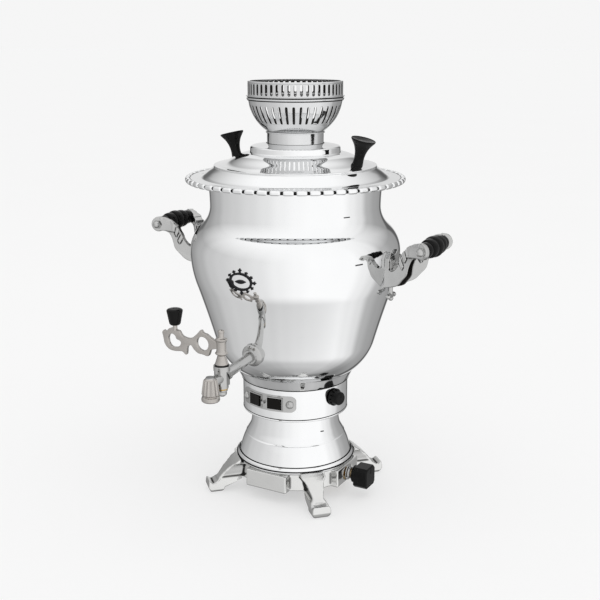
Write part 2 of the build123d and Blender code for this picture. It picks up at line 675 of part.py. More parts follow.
# ---------------------------------------------------------------- gallery and its beads
def gallery():
    # a spun dish around a straight neck tube that stands in the urn's mouth
    low = MOUTH_Z + EDGE_RISE
    top = low + EDGE_THICK
    sheet = GALLERY_SHEET
    tube = GALLERY_BORE + sheet
    spigot = urn_radius(MOUTH_Z - GALLERY_SPIGOT) - URN_WALL - SPIGOT_GAP
    cove = [(GALLERY_LIP, SEAT_Z - 0.9), (GALLERY_LIP + 2.4, SEAT_Z - 4.2), (GALLERY_LIP + 8, SEAT_Z - 7.6),
            (GALLERY_LIP + 15, top + 1.4), (GALLERY_EDGE, top)]
    under = [(GALLERY_EDGE - 5, low + 0.9), (GALLERY_LIP + 15, top + 1.4 - sheet),
             (GALLERY_LIP + 7, SEAT_Z - 7.4 - sheet), (tube + 1.6, SEAT_Z - 5.6)]
    outline = curve(cove) + Polyline(
        (GALLERY_EDGE, 0, top), (GALLERY_EDGE, 0, low), (GALLERY_EDGE - 2, 0, low),
        (under[0][0], 0, under[0][1])
    ) + curve(under) + Polyline(
        (under[-1][0], 0, under[-1][1]), (tube, 0, SEAT_Z - 3.4), (tube, 0, MOUTH_Z + sheet),
        (MOUTH_RADIUS + 2, 0, MOUTH_Z + sheet), (MOUTH_RADIUS + 2, 0, MOUTH_Z), (spigot, 0, MOUTH_Z),
        (spigot, 0, MOUTH_Z - GALLERY_SPIGOT), (spigot - sheet, 0, MOUTH_Z - GALLERY_SPIGOT),
        (spigot - sheet, 0, MOUTH_Z - sheet), (GALLERY_BORE, 0, MOUTH_Z - sheet), (GALLERY_BORE, 0, SEAT_Z),
        (GALLERY_LIP - 0.9, 0, SEAT_Z), (GALLERY_LIP, 0, SEAT_Z - 0.9)
    )
    return turned(outline)


def gallery_beading():
    # long beads on a flat wire around the edge of the dish
    level = MOUTH_Z + EDGE_RISE + EDGE_THICK / 2
    wire = ring(GALLERY_EDGE, BEAD_CIRCLE + 0.6, level - 1.6, level + 1.6)
    half = BEAD_LENGTH / 2
    arch = ThreePointArc((-half, 0, 0), (0, 0, BEAD_HEIGHT / 2), (half, 0, 0))
    arch = arch + Line((half, 0, 0), (-half, 0, 0))
    bead = revolve(make_face(arch), Axis.X, 360)
    bead = Pos(0, -BEAD_CIRCLE, level) * bead
    beads = polar(BEAD_COUNT, bead)
    return wire.fuse(*[s for b in beads for s in b.solids()])


# ---------------------------------------------------------------- lid
def lid_profile():
    # outer dome from the step's foot to the rim, as radius and height
    run = LID_RADIUS - LID_STEP_RADIUS
    foot = LID_STEP_Z
    drop = foot - (SEAT_Z + LID_THICK)
    return [(LID_STEP_RADIUS + 0.12 * run, foot - 0.02 * drop),
            (LID_STEP_RADIUS + 0.36 * run, foot - 0.25 * drop),
            (LID_STEP_RADIUS + 0.65 * run, foot - 0.72 * drop),
            (LID_RADIUS - 4.2, SEAT_Z + LID_THICK + 0.1)]


def lid_outline(shift, edge):
    # the lid's upper surface moved down by a shift, from the middle hole to the rim
    pts = [(r, z - shift) for r, z in lid_profile()]
    step_r = LID_STEP_RADIUS - shift
    return [
        Polyline((LID_HOLE, 0, CROWN_Z - shift), (step_r - 1.2, 0, CROWN_Z - shift),
                 (step_r, 0, CROWN_Z - 1.2 - shift), (step_r + 0.3, 0, LID_STEP_Z - shift),
                 (pts[0][0], 0, pts[0][1])),
        curve(pts),
        Line((pts[-1][0], 0, pts[-1][1]), (edge, 0, SEAT_Z + LID_THICK - shift)),
    ]


def lid_shell():
    top = lid_outline(0, LID_RADIUS)
    bottom = lid_outline(LID_THICK, LID_RADIUS)
    outline = top[0] + top[1] + top[2] \
        + Line((LID_RADIUS, 0, SEAT_Z + LID_THICK), (LID_RADIUS, 0, SEAT_Z)) \
        + bottom[2] + bottom[1] + bottom[0] \
        + Line((LID_HOLE, 0, CROWN_Z - LID_THICK), (LID_HOLE, 0, CROWN_Z))
    shell = turned(outline)
    plug_r = GALLERY_BORE - LOOSE
    plug = ring(plug_r - LID_PLUG_WALL, plug_r, SEAT_Z - LID_PLUG_DEPTH, SEAT_Z + 0.2)
    holes = [knob_frame(side) * Cylinder(KNOB_SCREW + SLIP, 20) for side in (-1, 1)]
    return without(shell + plug, holes)


def lid_filled():
    top = lid_outline(0, LID_RADIUS)
    outline = top[0] + top[1] + top[2] + Polyline(
        (LID_RADIUS, 0, SEAT_Z + LID_THICK), (LID_RADIUS, 0, SEAT_Z - 20), (LID_HOLE, 0, SEAT_Z - 20),
        (LID_HOLE, 0, CROWN_Z)
    )
    return turned(outline)


def dome_height(radius):
    # height of the lid's dome at a radius
    edge = curve(lid_profile())
    low, high = 0.0, 1.0
    for _ in range(40):
        middle = (low + high) / 2
        if (edge @ middle).X < radius:
            low = middle
        else:
            high = middle
    return (edge @ low).Z


def knob_frame(side):
    # on the dome, leaning outward to +X or -X
    return Pos(side * KNOB_CIRCLE, 0, dome_height(KNOB_CIRCLE)) * Rot(0, side * KNOB_TILT, 0)


def lid_knob(side):
    # a trumpet with a dished top
    low = -3.0
    outline = Polyline((0, 0, low), (KNOB_STEM + 0.6, 0, low)) + Spline(
        (KNOB_STEM + 0.6, 0, low), (KNOB_STEM, 0, 0.35 * KNOB_LENGTH),
        (KNOB_STEM + 2.2, 0, 0.72 * KNOB_LENGTH), (KNOB_TOP, 0, KNOB_LENGTH - 1.4)
    ) + Polyline(
        (KNOB_TOP, 0, KNOB_LENGTH - 1.4), (KNOB_TOP, 0, KNOB_LENGTH), (KNOB_TOP - 1.4, 0, KNOB_LENGTH)
    ) + Spline(
        (KNOB_TOP - 1.4, 0, KNOB_LENGTH), (KNOB_TOP / 2, 0, KNOB_LENGTH - 1.9), (0, 0, KNOB_LENGTH - 2.4)
    ) + Line((0, 0, KNOB_LENGTH - 2.4), (0, 0, low))
    body = turned(outline) - Pos(0, 0, -5) * Cylinder(KNOB_SCREW + SLIP, 17.4, align=UP)
    return knob_frame(side) * body - lid_filled()


def knob_screw(side):
    # a cheese-head screw up through the dome into the knob
    slope = degrees(atan2(dome_height(KNOB_CIRCLE - 1) - dome_height(KNOB_CIRCLE + 1), 2))
    lean = radians(abs(KNOB_TILT - slope))
    head_radius = 4.0
    z0 = -LID_THICK / cos(lean) - (head_radius + 0.3) * sin(lean) / cos(lean)
    head = Pos(0, 0, z0) * Cylinder(head_radius, 2.4, align=DOWN)
    shank = Pos(0, 0, z0 - 1) * Cylinder(KNOB_SCREW, 13.0 - z0, align=UP)
    return knob_frame(side) * (head + shank)


# ---------------------------------------------------------------- crown
def crown_bowl():
    # foot, straight collar and a bowl that is one arc, pierced by upright slots
    inside = COLLAR_RADIUS - CROWN_WALL
    span = BOWL_RADIUS - COLLAR_RADIUS
    outer = ThreePointArc(
        (COLLAR_RADIUS, 0, BOWL_Z), (COLLAR_RADIUS + 0.75 * span, 0, BOWL_Z + 0.5 * BOWL_HEIGHT),
        (BOWL_RADIUS, 0, BEADS_Z))
    centre = outer.arc_center
    share = 1 - CROWN_WALL / outer.radius
    inner = ThreePointArc(*[centre + (outer @ t - centre) * share for t in (1, 0.5, 0)])
    outline = outer + Line(outer @ 1, inner @ 0) + inner + Polyline(
        inner @ 1, (inside, 0, BOWL_Z), (inside, 0, CROWN_Z), (COLLAR_RADIUS + 2.4, 0, CROWN_Z),
        (COLLAR_RADIUS + 2.4, 0, CROWN_Z + 1.2), (COLLAR_RADIUS, 0, CROWN_Z + 1.2),
        (COLLAR_RADIUS, 0, BOWL_Z))
    bowl = turned(outline) & disc(BOWL_RADIUS + 5, CROWN_Z, BEADS_Z)
    low, high = BOWL_Z + 0.33 * BOWL_HEIGHT, BEADS_Z - 2.4
    spread = degrees(BOWL_SLOT_WIDTH / BOWL_RADIUS)
    slot = revolve(make_face(polygon((COLLAR_RADIUS, low), (BOWL_RADIUS + 5, low), (BOWL_RADIUS + 5, high),
                                     (COLLAR_RADIUS, high))), Axis.Z, spread)
    return without(bowl, polar(BOWL_SLOTS, slot))


def crown_band():
    # a short cylinder with a rolled rim, pierced by upright slots with round ends
    wall = ring(CROWN_RADIUS - CROWN_WALL, CROWN_RADIUS, CROWN_BAND_Z, CROWN_TOP - 1.2)
    roll = Pos(0, 0, CROWN_TOP - 1.3) * Torus(CROWN_RADIUS - CROWN_WALL / 2, 1.3)
    level = (CROWN_BAND_Z + CROWN_TOP) / 2 - 0.8
    slot = SlotOverall(BAND_SLOT_HEIGHT, BAND_SLOT_WIDTH, rotation=90)
    prism = Pos(0, -CROWN_RADIUS + 3, level) * Rot(90, 0, 0) * extrude(slot, 6)
    return without(wall, polar(BAND_SLOTS, prism)) + roll


def crown_beading():
    # a hoop between bowl and band with a row of small round beads
    hoop = ring(BOWL_RADIUS - CROWN_WALL, CROWN_BEAD_REACH - 1.3, BEADS_Z, CROWN_BAND_Z)
    level = BEADS_Z + CROWN_BEAD_HEIGHT / 2
    bead = Pos(0, -CROWN_BEAD_REACH + 1.5, level) * Sphere(CROWN_BEAD_HEIGHT / 2 - 0.15)
    return hoop.fuse(*[s for b in polar(CROWN_BEADS, bead) for s in b.solids()])


# ---------------------------------------------------------------- handles
SHIELD_RADIUS = urn_radius(SHIELD_TOP - SHIELD_HEIGHT / 2)
ARM_SPREAD = degrees(atan2(ARM_HALF - ARM_ROOT, GRIP_REACH - SHIELD_RADIUS))


def arm():
    # a horn that narrows from its foot to the boss, with ribs on its bend, for the handle on +X, side +Y
    length = sqrt((GRIP_REACH - SHIELD_RADIUS) ** 2 + (ARM_HALF - ARM_ROOT) ** 2)
    drop = GRIP_HEIGHT - (SHIELD_TOP - 0.5 * SHIELD_HEIGHT)
    top = [(1.0, 0.35 * ARM_FOOT - drop), (0.13 * length, -0.56 * drop), (0.27 * length, -0.18 * drop),
           (0.46 * length, 0.08 * drop), (0.66 * length, 0.24 * drop), (length, ARM_BOSS)]
    under = [(1.0, -0.5 * ARM_FOOT - drop), (0.34 * length, -1.3 * drop), (0.46 * length, -1.06 * drop),
             (0.5 * length, -0.84 * drop), (0.55 * length, -0.61 * drop), (0.67 * length, -0.41 * drop),
             (length, -ARM_BOSS)]
    upper = Spline(*[(x, 0, z) for x, z in top])
    lower = Spline(*[(x, 0, z) for x, z in under])
    outline = upper + Line(upper @ 1, lower @ 1) + lower + Line(lower @ 0, upper @ 0)
    body = extrude(make_face(outline), ARM_THICK / 2, both=True)
    body = body + Pos(length, 0, 0) * Rot(90, 0, 0) * Cylinder(ARM_BOSS, ARM_THICK)
    for i in range(ARM_RIBS):
        share = i / (ARM_RIBS - 1)
        start = upper @ (0.36 + 0.34 * share)
        across = lower @ (0.52 + 0.2 * share) - start
        turn = Rot(0, -degrees(atan2(across.Z, across.X)), 0)
        strip = Box(0.5 * across.length, ARM_THICK + 2 * RIB_PROUD, RIB_WIDTH)
        body = body + Pos(start + 0.28 * across) * turn * strip
    return Pos(SHIELD_RADIUS, ARM_ROOT, GRIP_HEIGHT) * Rot(0, 0, ARM_SPREAD) * body


def handle_bracket():
    # the shield on the wall and both arms as one casting, for +X
    mid = SHIELD_TOP - SHIELD_HEIGHT / 2
    half = SHIELD_HEIGHT / 2
    right = Spline((0, SHIELD_HALF, half - 6), (0, SHIELD_HALF - 0.5, 0), (0, 0.45 * SHIELD_HALF, -half + 7),
                   (0, 0, -half))
    left = mirror(right, Plane.XZ)
    crest = Polyline((0, -SHIELD_HALF, half - 6), (0, -0.6 * SHIELD_HALF, half), (0, 0, half - 4),
                     (0, 0.6 * SHIELD_HALF, half), (0, SHIELD_HALF, half - 6))
    outline = right + left + crest
    block = Pos(SHIELD_RADIUS - 30, 0, mid) * extrude(make_face(outline), 60, dir=(1, 0, 0))
    shield = block & wall_layer(SHIELD_THICK)
    upper = arm()
    body = shield + upper + mirror(upper, Plane.XZ)
    rod = Pos(GRIP_REACH, 0, GRIP_HEIGHT) * Rot(90, 0, 0) * Cylinder(ROD_RADIUS + SLIP, 3 * ARM_HALF)
    flats = [Pos(GRIP_REACH, s * (ARM_HALF + ARM_THICK / 2 + 10 - 0.6), GRIP_HEIGHT)
             * Box(2 * NUT_RADIUS + 2, 20, 2 * NUT_RADIUS + 2) for s in (-1, 1)]
    inner = Pos(GRIP_REACH, 0, GRIP_HEIGHT) * Box(2 * GRIP_RADIUS + 4, 2 * GRIP_HALF, 2 * GRIP_RADIUS + 4)
    cutters = [rod, inner] + flats + [bracket_screw_hole(h) for h in BRACKET_SCREWS]
    cutters.append(Pos(FINIAL_RADIUS, 0, SHIELD_TOP - SHIELD_HEIGHT) * Cylinder(FINIAL_PIN + SLIP, 12))
    return without(body, cutters)


GRIP_HALF = ARM_HALF - ARM_THICK / 2 - 1.2
BRACKET_SCREWS = [SHIELD_TOP - 13.0]


def bracket_screw_hole(height):
    return Pos(urn_radius(height), 0, height) * Rot(0, 90, 0) * Cylinder(2.0 + SLIP, 30)


def bracket_screw(height):
    # from inside the urn through its wall into the shield, with a round nut inside
    r = urn_radius(height)
    shank = Pos(r - URN_WALL - 3, 0, height) * Rot(0, 90, 0) * Cylinder(
        2.0, SHIELD_THICK + URN_WALL + 4.6, align=UP)
    head = Pos(r - URN_WALL - 0.8, 0, height) * Rot(0, 90, 0) * Cylinder(4.2, 3.0, align=DOWN)
    return shank + head


def handle_grip():
    # a turned barrel with rings that grow toward its middle
    half = GRIP_HALF - 0.3
    pitch = 2 * half / GRIP_RINGS
    middle = (GRIP_RINGS - 1) / 2
    bore = ROD_RADIUS + SLIP
    rings = []
    for i in range(GRIP_RINGS):
        start = -half + i * pitch
        swell = GRIP_RADIUS - GRIP_FALL * abs(i - middle) / middle
        valley = swell - GRIP_GROOVE
        top = (swell, start + pitch / 2, 0)
        rings.append(ThreePointArc((valley, start, 0), top, (valley, start + pitch, 0)))
    outline = rings[0]
    for before, after in zip(rings, rings[1:]):
        if (before @ 1 - after @ 0).length > 0.001:
            outline = outline + Line(before @ 1, after @ 0)
        outline = outline + after
    outline = outline + Polyline(rings[-1] @ 1, (bore, half, 0), (bore, -half, 0), rings[0] @ 0)
    return Pos(GRIP_REACH, 0, GRIP_HEIGHT) * revolve(make_face(outline), Axis.Y, 360)


def grip_rod():
    length = 2 * (ARM_HALF + ARM_THICK / 2 + 2.6)
    return Pos(GRIP_REACH, 0, GRIP_HEIGHT) * Rot(90, 0, 0) * Cylinder(ROD_RADIUS, length)


def grip_nut(side):
    # an acorn nut on the rod's end
    seat = ARM_HALF + ARM_THICK / 2 - 0.6
    hexagon = extrude(RegularPolygon(NUT_RADIUS, 6), 3.4)
    dome = Pos(0, 0, 3.4) * (Sphere(NUT_RADIUS * 0.8) & Pos(0, 0, 5) * Cylinder(NUT_RADIUS, 10))
    bore = Cylinder(ROD_RADIUS + FIT, 2 * 3.2 + 0.1)
    nut = hexagon + dome - bore
    turn = Rot(-90, 0, 0) if side > 0 else Rot(90, 0, 0)
    return Pos(GRIP_REACH, side * seat, GRIP_HEIGHT) * turn * nut


FINIAL_RADIUS = urn_radius(SHIELD_TOP - SHIELD_HEIGHT) + SHIELD_THICK / 2 + 0.8


def bracket_finial():
    # a small turned drop under the shield with a cross bar
    x = FINIAL_RADIUS
    top = SHIELD_TOP - SHIELD_HEIGHT
    level = top - FINIAL_DROP
    pin = Pos(x, 0, top) * Cylinder(FINIAL_PIN, 11)
    neck = Pos(x, 0, level) * Cylinder(2.6, FINIAL_DROP, align=UP)
    bar = Pos(x + 0.6, 0, level) * Rot(90, 0, 0) * Cylinder(2.2, 14)
    caps = [Pos(x + 0.6, s * 7, level) * Sphere(2.8) for s in (-1, 1)]
    tip = Pos(x + 0.6, 0, level - 3) * Sphere(2.8)
    return pin + neck + bar + caps[0] + caps[1] + tip


def pair(shape):
    # a piece on +X and its twin on -X
    return [shape, mirror(shape, Plane.YZ)]


# ---------------------------------------------------------------- medallion


def medallion():
    # a plain rosette: a dark enamel disc with petals, in a low raised field
    r = MEDALLION_RADIUS
    body = outward(0, BELLY_RADIUS - 25, MEDALLION_LEVEL) * extrude(Circle(r), 30)
    petals = polar_flat(MEDALLION_PETALS, Circle(PETAL_RADIUS), r - 0.6)
    for petal in petals:
        body = body + outward(0, BELLY_RADIUS - 25, MEDALLION_LEVEL) * extrude(petal, 30)
    return body & wall_layer(MEDALLION_PROUD)


def polar_flat(count, sketch, radius):
    return [Rot(0, 0, 360 * i / count) * Pos(radius, 0, 0) * sketch for i in range(count)]


# ---------------------------------------------------------------- tap
TAP_ROOT_Z = TAP_HEIGHT + TAP_ROOT_RISE
TAP_SEAT = urn_radius(TAP_ROOT_Z)
TUBE_SLOPE = degrees(atan2(TAP_ROOT_RISE, TAP_REACH - TAP_SEAT))


def tube_frame():
    # at the plug, its Z axis runs back up the tube toward the urn
    return Pos(0, -TAP_REACH, TAP_HEIGHT) * Rot(-90 + TUBE_SLOPE, 0, 0)


def tap_body():
    length = TAP_REACH - TAP_SEAT
    inside = 16.0
    block_low = TAP_HEIGHT - BLOCK_HEIGHT / 2
    block_top = TAP_HEIGHT + BLOCK_HEIGHT / 2
    block = extrude(RegularPolygon(BLOCK_HALF / cos(pi / 8), 8, rotation=22.5), BLOCK_HEIGHT)
    block = Pos(0, -TAP_REACH, block_low) * block
    collar = Pos(0, -TAP_REACH, block_top) * Cylinder(TAP_COLLAR_RADIUS, TAP_COLLAR_HEIGHT, align=UP)
    lower = Pos(0, -TAP_REACH, block_low) * Cylinder(TAP_LOWER_RADIUS, TAP_LOWER_HEIGHT, align=DOWN)
    tube = tube_frame() * Cylinder(TUBE_RADIUS, length + inside, align=UP)
    ferrule = tube_frame() * Pos(0, 0, BLOCK_HALF - 1) * Cylinder(TUBE_RADIUS + 1.2, 4, align=UP)
    stub = Pos(0, -TAP_REACH, TAP_HEIGHT) * Rot(90, 0, 0) * Cylinder(
        TUBE_RADIUS, SPOUT_REACH - NOZZLE_CORE + 1.5, align=UP)
    boss = Pos(0, -TAP_REACH - SPOUT_REACH, TAP_HEIGHT) * Cylinder(NOZZLE_CORE, 2 * TUBE_RADIUS + 1.6)
    body = block + collar + lower + tube + ferrule + stub + boss
    bore = plug_shape(FIT, 12)
    way_in = tube_frame() * Cylinder(WATER_WAY / 2, length + inside + 5, align=UP)
    way_out = Pos(0, -TAP_REACH, TAP_HEIGHT) * Rot(90, 0, 0) * Cylinder(
        WATER_WAY / 2, SPOUT_REACH, align=UP)
    way_down = Pos(0, -TAP_REACH - SPOUT_REACH, TAP_HEIGHT) * Cylinder(WATER_WAY / 2, 30, align=DOWN)
    return without(body, [bore, way_in, way_out, way_down])


PLUG_Z = TAP_HEIGHT - BLOCK_HEIGHT / 2 - TAP_LOWER_HEIGHT
PLUG_END = TAP_HEIGHT + BLOCK_HEIGHT / 2 + TAP_COLLAR_HEIGHT


def plug_shape(gap, extra):
    # the tapered seat, with straight ends longer by extra for a bore
    low_r = PLUG_TOP - PLUG_TAPER + gap
    top_r = PLUG_TOP + gap
    cone = turned(polygon((0, PLUG_Z), (low_r, PLUG_Z), (top_r, PLUG_END), (0, PLUG_END)))
    if extra > 0:
        cone = cone + disc(low_r, PLUG_Z - extra, PLUG_Z) + disc(top_r, PLUG_END, PLUG_END + extra)
    return Pos(0, -TAP_REACH, 0) * cone


def tap_flange():
    # an escutcheon against the urn's wall around the tube
    frame = tube_frame() * Pos(0, 0, TAP_REACH - TAP_SEAT - TAP_FLANGE_THICK - 0.6)
    outline = polygon((TUBE_RADIUS + SLIP, -5.4), (TUBE_RADIUS + 2.0, -5.4), (TUBE_RADIUS + 2.6, -2.4),
                      (TAP_FLANGE_RADIUS - 1, -1.0), (TAP_FLANGE_RADIUS, 0), (TAP_FLANGE_RADIUS, 18),
                      (TUBE_RADIUS + SLIP, 18))
    return frame * turned(outline) - urn_filled()


def tap_lock_nut():
    # the nut on the tube's thread inside the tank, over a sealing washer
    frame = tube_frame() * Pos(0, 0, TAP_REACH - TAP_SEAT)
    nut = extrude(RegularPolygon(TUBE_RADIUS + 4.6, 6) - Circle(TUBE_RADIUS + SLIP), 5.0)
    return frame * Pos(0, 0, TAP_NUT_START) * nut


def tap_washer():
    frame = tube_frame() * Pos(0, 0, TAP_REACH - TAP_SEAT)
    blank = frame * Pos(0, 0, TAP_NUT_START) * (
        Cylinder(TUBE_RADIUS + 3.8, 16, align=DOWN)
        - Cylinder(TUBE_RADIUS + SLIP, 40))
    return blank & urn_filled(-URN_WALL)


def tap_plug():
    # the tapered plug, its stem, the waisted hub and the finial, turned by the lever
    hub_z = PLUG_END + STEM_HEIGHT
    top_z = hub_z + HUB_HEIGHT
    cone = plug_shape(0, 0)
    tail = Pos(0, -TAP_REACH, PLUG_Z) * Cylinder(PLUG_TAIL, 7.4, align=DOWN)
    stem = Pos(0, -TAP_REACH, 0) * turned(polygon(
        (0, PLUG_END - 0.5), (PLUG_TOP, PLUG_END - 0.5), (PLUG_TOP, PLUG_END),
        (PLUG_TOP - 0.6, PLUG_END + 2.2), (STEM_RADIUS, hub_z - 1.4), (STEM_RADIUS + 0.6, hub_z), (0, hub_z)
    ))
    waist = HUB_RADIUS - 1.3
    hub = Polyline((0, 0, hub_z), (HUB_RADIUS - 0.6, 0, hub_z), (HUB_RADIUS, 0, hub_z + 1.4)) + Spline(
        (HUB_RADIUS, 0, hub_z + 1.4), (waist, 0, hub_z + HUB_HEIGHT / 2), (HUB_RADIUS, 0, top_z - 1.6)
    ) + Polyline(
        (HUB_RADIUS, 0, top_z - 1.6), (HUB_RADIUS - 0.8, 0, top_z), (3.0, 0, top_z + 1.2),
        (2.6, 0, top_z + 2.4), (3.9, 0, top_z + 4.0), (4.1, 0, top_z + 6.6), (2.6, 0, top_z + 8.6),
        (0, 0, top_z + 9.0), (0, 0, hub_z)
    )
    hub = Pos(0, -TAP_REACH, 0) * turned(hub)
    slot = Pos(-HUB_RADIUS, -TAP_REACH, hub_z + HUB_HEIGHT / 2) * Box(
        2 * LEVER_DEPTH, LEVER_THICK + 2 * SLIP, LEVER_TANG + 2 * SLIP)
    way = Pos(0, -TAP_REACH, TAP_HEIGHT) * Rot(0, 90, 0) * Cylinder(WATER_WAY / 2, 30)
    return cone + tail + stem + hub - slot - way


LEVER_Z = PLUG_END + STEM_HEIGHT + HUB_HEIGHT / 2


def tap_lever():
    # a pierced plate with two rings, small points and a pin for the knob
    y = -TAP_REACH
    inner_c, outer_c = -LEVER_INNER_RING, -LEVER_OUTER_RING
    tang = Pos((-HUB_RADIUS + LEVER_DEPTH - LEVER_INNER_RING) / 2, 0, 0) * Box(
        LEVER_INNER_RING - HUB_RADIUS + LEVER_DEPTH, LEVER_THICK, LEVER_TANG)
    link = Pos((inner_c + outer_c) / 2, 0, -1) * Box(LEVER_OUTER_RING - LEVER_INNER_RING, LEVER_THICK, 7.0)
    rings = [Pos(c, 0, z) * Rot(90, 0, 0) * Cylinder(r, LEVER_THICK)
             for c, r, z in ((inner_c, INNER_RING_RADIUS, 0), (outer_c, OUTER_RING_RADIUS, LEVER_DROP))]
    points = []
    for c, r, z, angles in ((inner_c, INNER_RING_RADIUS, 0, (80, -95, -60)),
                            (outer_c, OUTER_RING_RADIUS, LEVER_DROP, (150, -25, 200))):
        for angle in angles:
            tip = make_face(Polyline((r - 3, 0, -3.2), (r + 3.4, 0, 0), (r - 3, 0, 3.2), close=True))
            points.append(Pos(c, 0, z) * Rot(0, -angle, 0) * extrude(tip, LEVER_THICK / 2, both=True))
    body = tang + link
    for piece in rings + points:
        body = body + piece
    for c, z in ((inner_c, 0), (outer_c, LEVER_DROP)):
        body = body - Pos(c, 0, z) * Rot(90, 0, 0) * Cylinder(RING_HOLE, 3 * LEVER_THICK)
    top = OUTER_RING_RADIUS + LEVER_DROP
    neck = Pos(outer_c - 2, 0, top - 1.5) * Cylinder(3.4, LEVER_NECK + 1.5, align=UP)
    pin = Pos(outer_c - 2, 0, top) * Cylinder(LEVER_PIN, LEVER_NECK + 11, align=UP)
    return Pos(0, y, LEVER_Z) * (body + neck + pin)


def lever_knob():
    r = LEVER_KNOB_RADIUS
    h = LEVER_KNOB_HEIGHT
    outline = polygon((0, 0), (r - 3.4, 0), (r - 2.4, 1.2), (r, h - 2.0), (r - 1.0, h - 0.6),
                      (r - 2.4, h), (0, h))
    knob = turned(outline) - Pos(0, 0, -1) * Cylinder(LEVER_PIN + SLIP, 12.2, align=UP)
    z = LEVER_Z + OUTER_RING_RADIUS + LEVER_DROP + LEVER_NECK
    return Pos(-LEVER_OUTER_RING - 2, -TAP_REACH, z) * knob


def tap_retainer():
    # a washer, a spring seat and a round cap on the plug's tail
    cap = turned(polygon((PLUG_TAIL + FIT, PLUG_Z - 1.6), (5.6, PLUG_Z - 1.6), (5.6, PLUG_Z - 3.0),
                         (4.8, PLUG_Z - 3.6), (4.6, PLUG_Z - 7.0), (3.0, PLUG_Z - 8.8),
                         (0, PLUG_Z - 8.8), (0, PLUG_Z - 7.6),
                         (PLUG_TAIL + FIT, PLUG_Z - 7.6)))
    return Pos(0, -TAP_REACH, 0) * cap


def retainer_washer():
    return Pos(0, -TAP_REACH, 0) * ring(PLUG_TAIL + FIT, 6.0, PLUG_Z - 1.4, PLUG_Z - 0.2)


def tap_seal():
    # the dark ring under the stem, clamped on the collar
    return Pos(0, -TAP_REACH, 0) * ring(PLUG_TOP + 0.3, PLUG_TOP + 1.6, PLUG_END, PLUG_END + 1.4)


def tap_nozzle():
    # eight flats flaring down to a waist and a round foot
    top = TAP_HEIGHT + 6.0
    low = top - NOZZLE_HEIGHT
    flare = top - 0.74 * NOZZLE_HEIGHT
    lower = Pos(0, 0, flare) * RegularPolygon(NOZZLE_BASE, 8, rotation=22.5)
    upper = Pos(0, 0, top - 1.2) * RegularPolygon(NOZZLE_TOP + 0.6, 8, rotation=22.5)
    tip = Pos(0, 0, top) * RegularPolygon(NOZZLE_TOP - 1.2, 8, rotation=22.5)
    body = loft([lower, upper]) + loft([upper, tip])
    foot = turned(polygon((0, low), (NOZZLE_BASE - 1.0, low), (NOZZLE_BASE, low + 1.6),
                          (NOZZLE_BASE - 0.4, low + 3.0), (NOZZLE_BASE - 2.2, flare - 2.0),
                          (NOZZLE_BASE - 1.0, flare), (0, flare)))
    body = body + foot
    core = Pos(0, 0, TAP_HEIGHT) * Cylinder(NOZZLE_CORE + SLIP, 2 * TUBE_RADIUS + 2.0)
    window = Pos(0, 0, TAP_HEIGHT) * Rot(-90, 0, 0) * Cylinder(TUBE_RADIUS + SLIP, 30, align=UP)
    bore = Pos(0, 0, TAP_HEIGHT) * Cylinder(WATER_WAY / 2, 60, align=DOWN)
    outlet = Pos(0, 0, low) * Cylinder(WATER_WAY / 2 + 1.6, 12)
    body = body - core - window - bore - outlet
    return Pos(0, -TAP_REACH - SPOUT_REACH, 0) * body


# ---------------------------------------------------------------- gas
VALVE_BACK = PANEL_REACH - 5.0 - VALVE_LENGTH


def gas_valve():
    # the valve's brass body with its bezel tube through the panel and the pipe to the burner
    body = Pos(VALVE_BACK, 0, VALVE_LEVEL) * Rot(0, 90, 0) * Cylinder(VALVE_RADIUS, VALVE_LENGTH, align=UP)
    nose = Pos(VALVE_BACK + VALVE_LENGTH, 0, VALVE_LEVEL) * Rot(0, 90, 0) * Cylinder(
        VALVE_NECK, VALVE_NOSE, align=UP)
    bore = Pos(VALVE_BACK + VALVE_END_WALL, 0, VALVE_LEVEL) * Rot(0, 90, 0) * Cylinder(
        VALVE_STEM + FIT, 60, align=UP)
    jet = Pos(VALVE_BACK, 0, VALVE_LEVEL) * Rot(0, -90, 0) * Cylinder(3.4, 9.0, align=UP)
    inlet_x = VALVE_BACK + 7.0
    elbow = Pos(inlet_x, 0, VALVE_LEVEL) * Rot(-90, 0, 0) * Cylinder(4.4, VALVE_RADIUS + 5, align=UP)
    return body + nose + jet + elbow - bore


NOSE_END = VALVE_BACK + VALVE_LENGTH + VALVE_NOSE


def valve_bezel():
    # a chrome collar screwed on the valve's nose in front of the panel
    start = PANEL_REACH + 0.2
    outline = polygon((VALVE_NECK + FIT, start), (8.4, start), (8.4, start + 1.4), (6.6, start + 2.2),
                      (6.6, NOSE_END), (VALVE_NECK + FIT, NOSE_END))
    return Pos(0, 0, VALVE_LEVEL) * Rot(0, 90, 0) * turned(outline)


def valve_stem():
    # the stem that is pressed in before it turns, its front end held in the knob
    start = VALVE_BACK + VALVE_END_WALL + GAS_PUSH + LOOSE
    return Pos(start, 0, VALVE_LEVEL) * Rot(0, 90, 0) * Cylinder(
        VALVE_STEM, KNOB_BACK + STEM_IN_KNOB - start, align=UP)


KNOB_BACK = NOSE_END + GAS_PUSH + 0.5


def gas_knob():
    # a square black knob with cut corners and a round skirt at its back
    size = GAS_KNOB_SIZE
    depth = GAS_KNOB_LENGTH - KNOB_SKIRT
    block = extrude(chamfer(Rectangle(size, size).vertices(), KNOB_CUT), depth)
    block = chamfer(block.faces().sort_by(Axis.Z)[-1].edges(), 1.2)
    back = Cylinder(0.42 * size, KNOB_SKIRT, align=DOWN)
    line = Pos(0, size / 2 - 4, depth) * Box(1.4, 7, 1.0)
    bore = Pos(0, 0, -KNOB_SKIRT) * Cylinder(VALVE_STEM + FIT, STEM_IN_KNOB + 0.5, align=UP)
    knob = block + back - line - bore
    return Pos(KNOB_BACK + KNOB_SKIRT, 0, VALVE_LEVEL) * Rot(0, 90, 0) * Rot(0, 0, 90) * knob


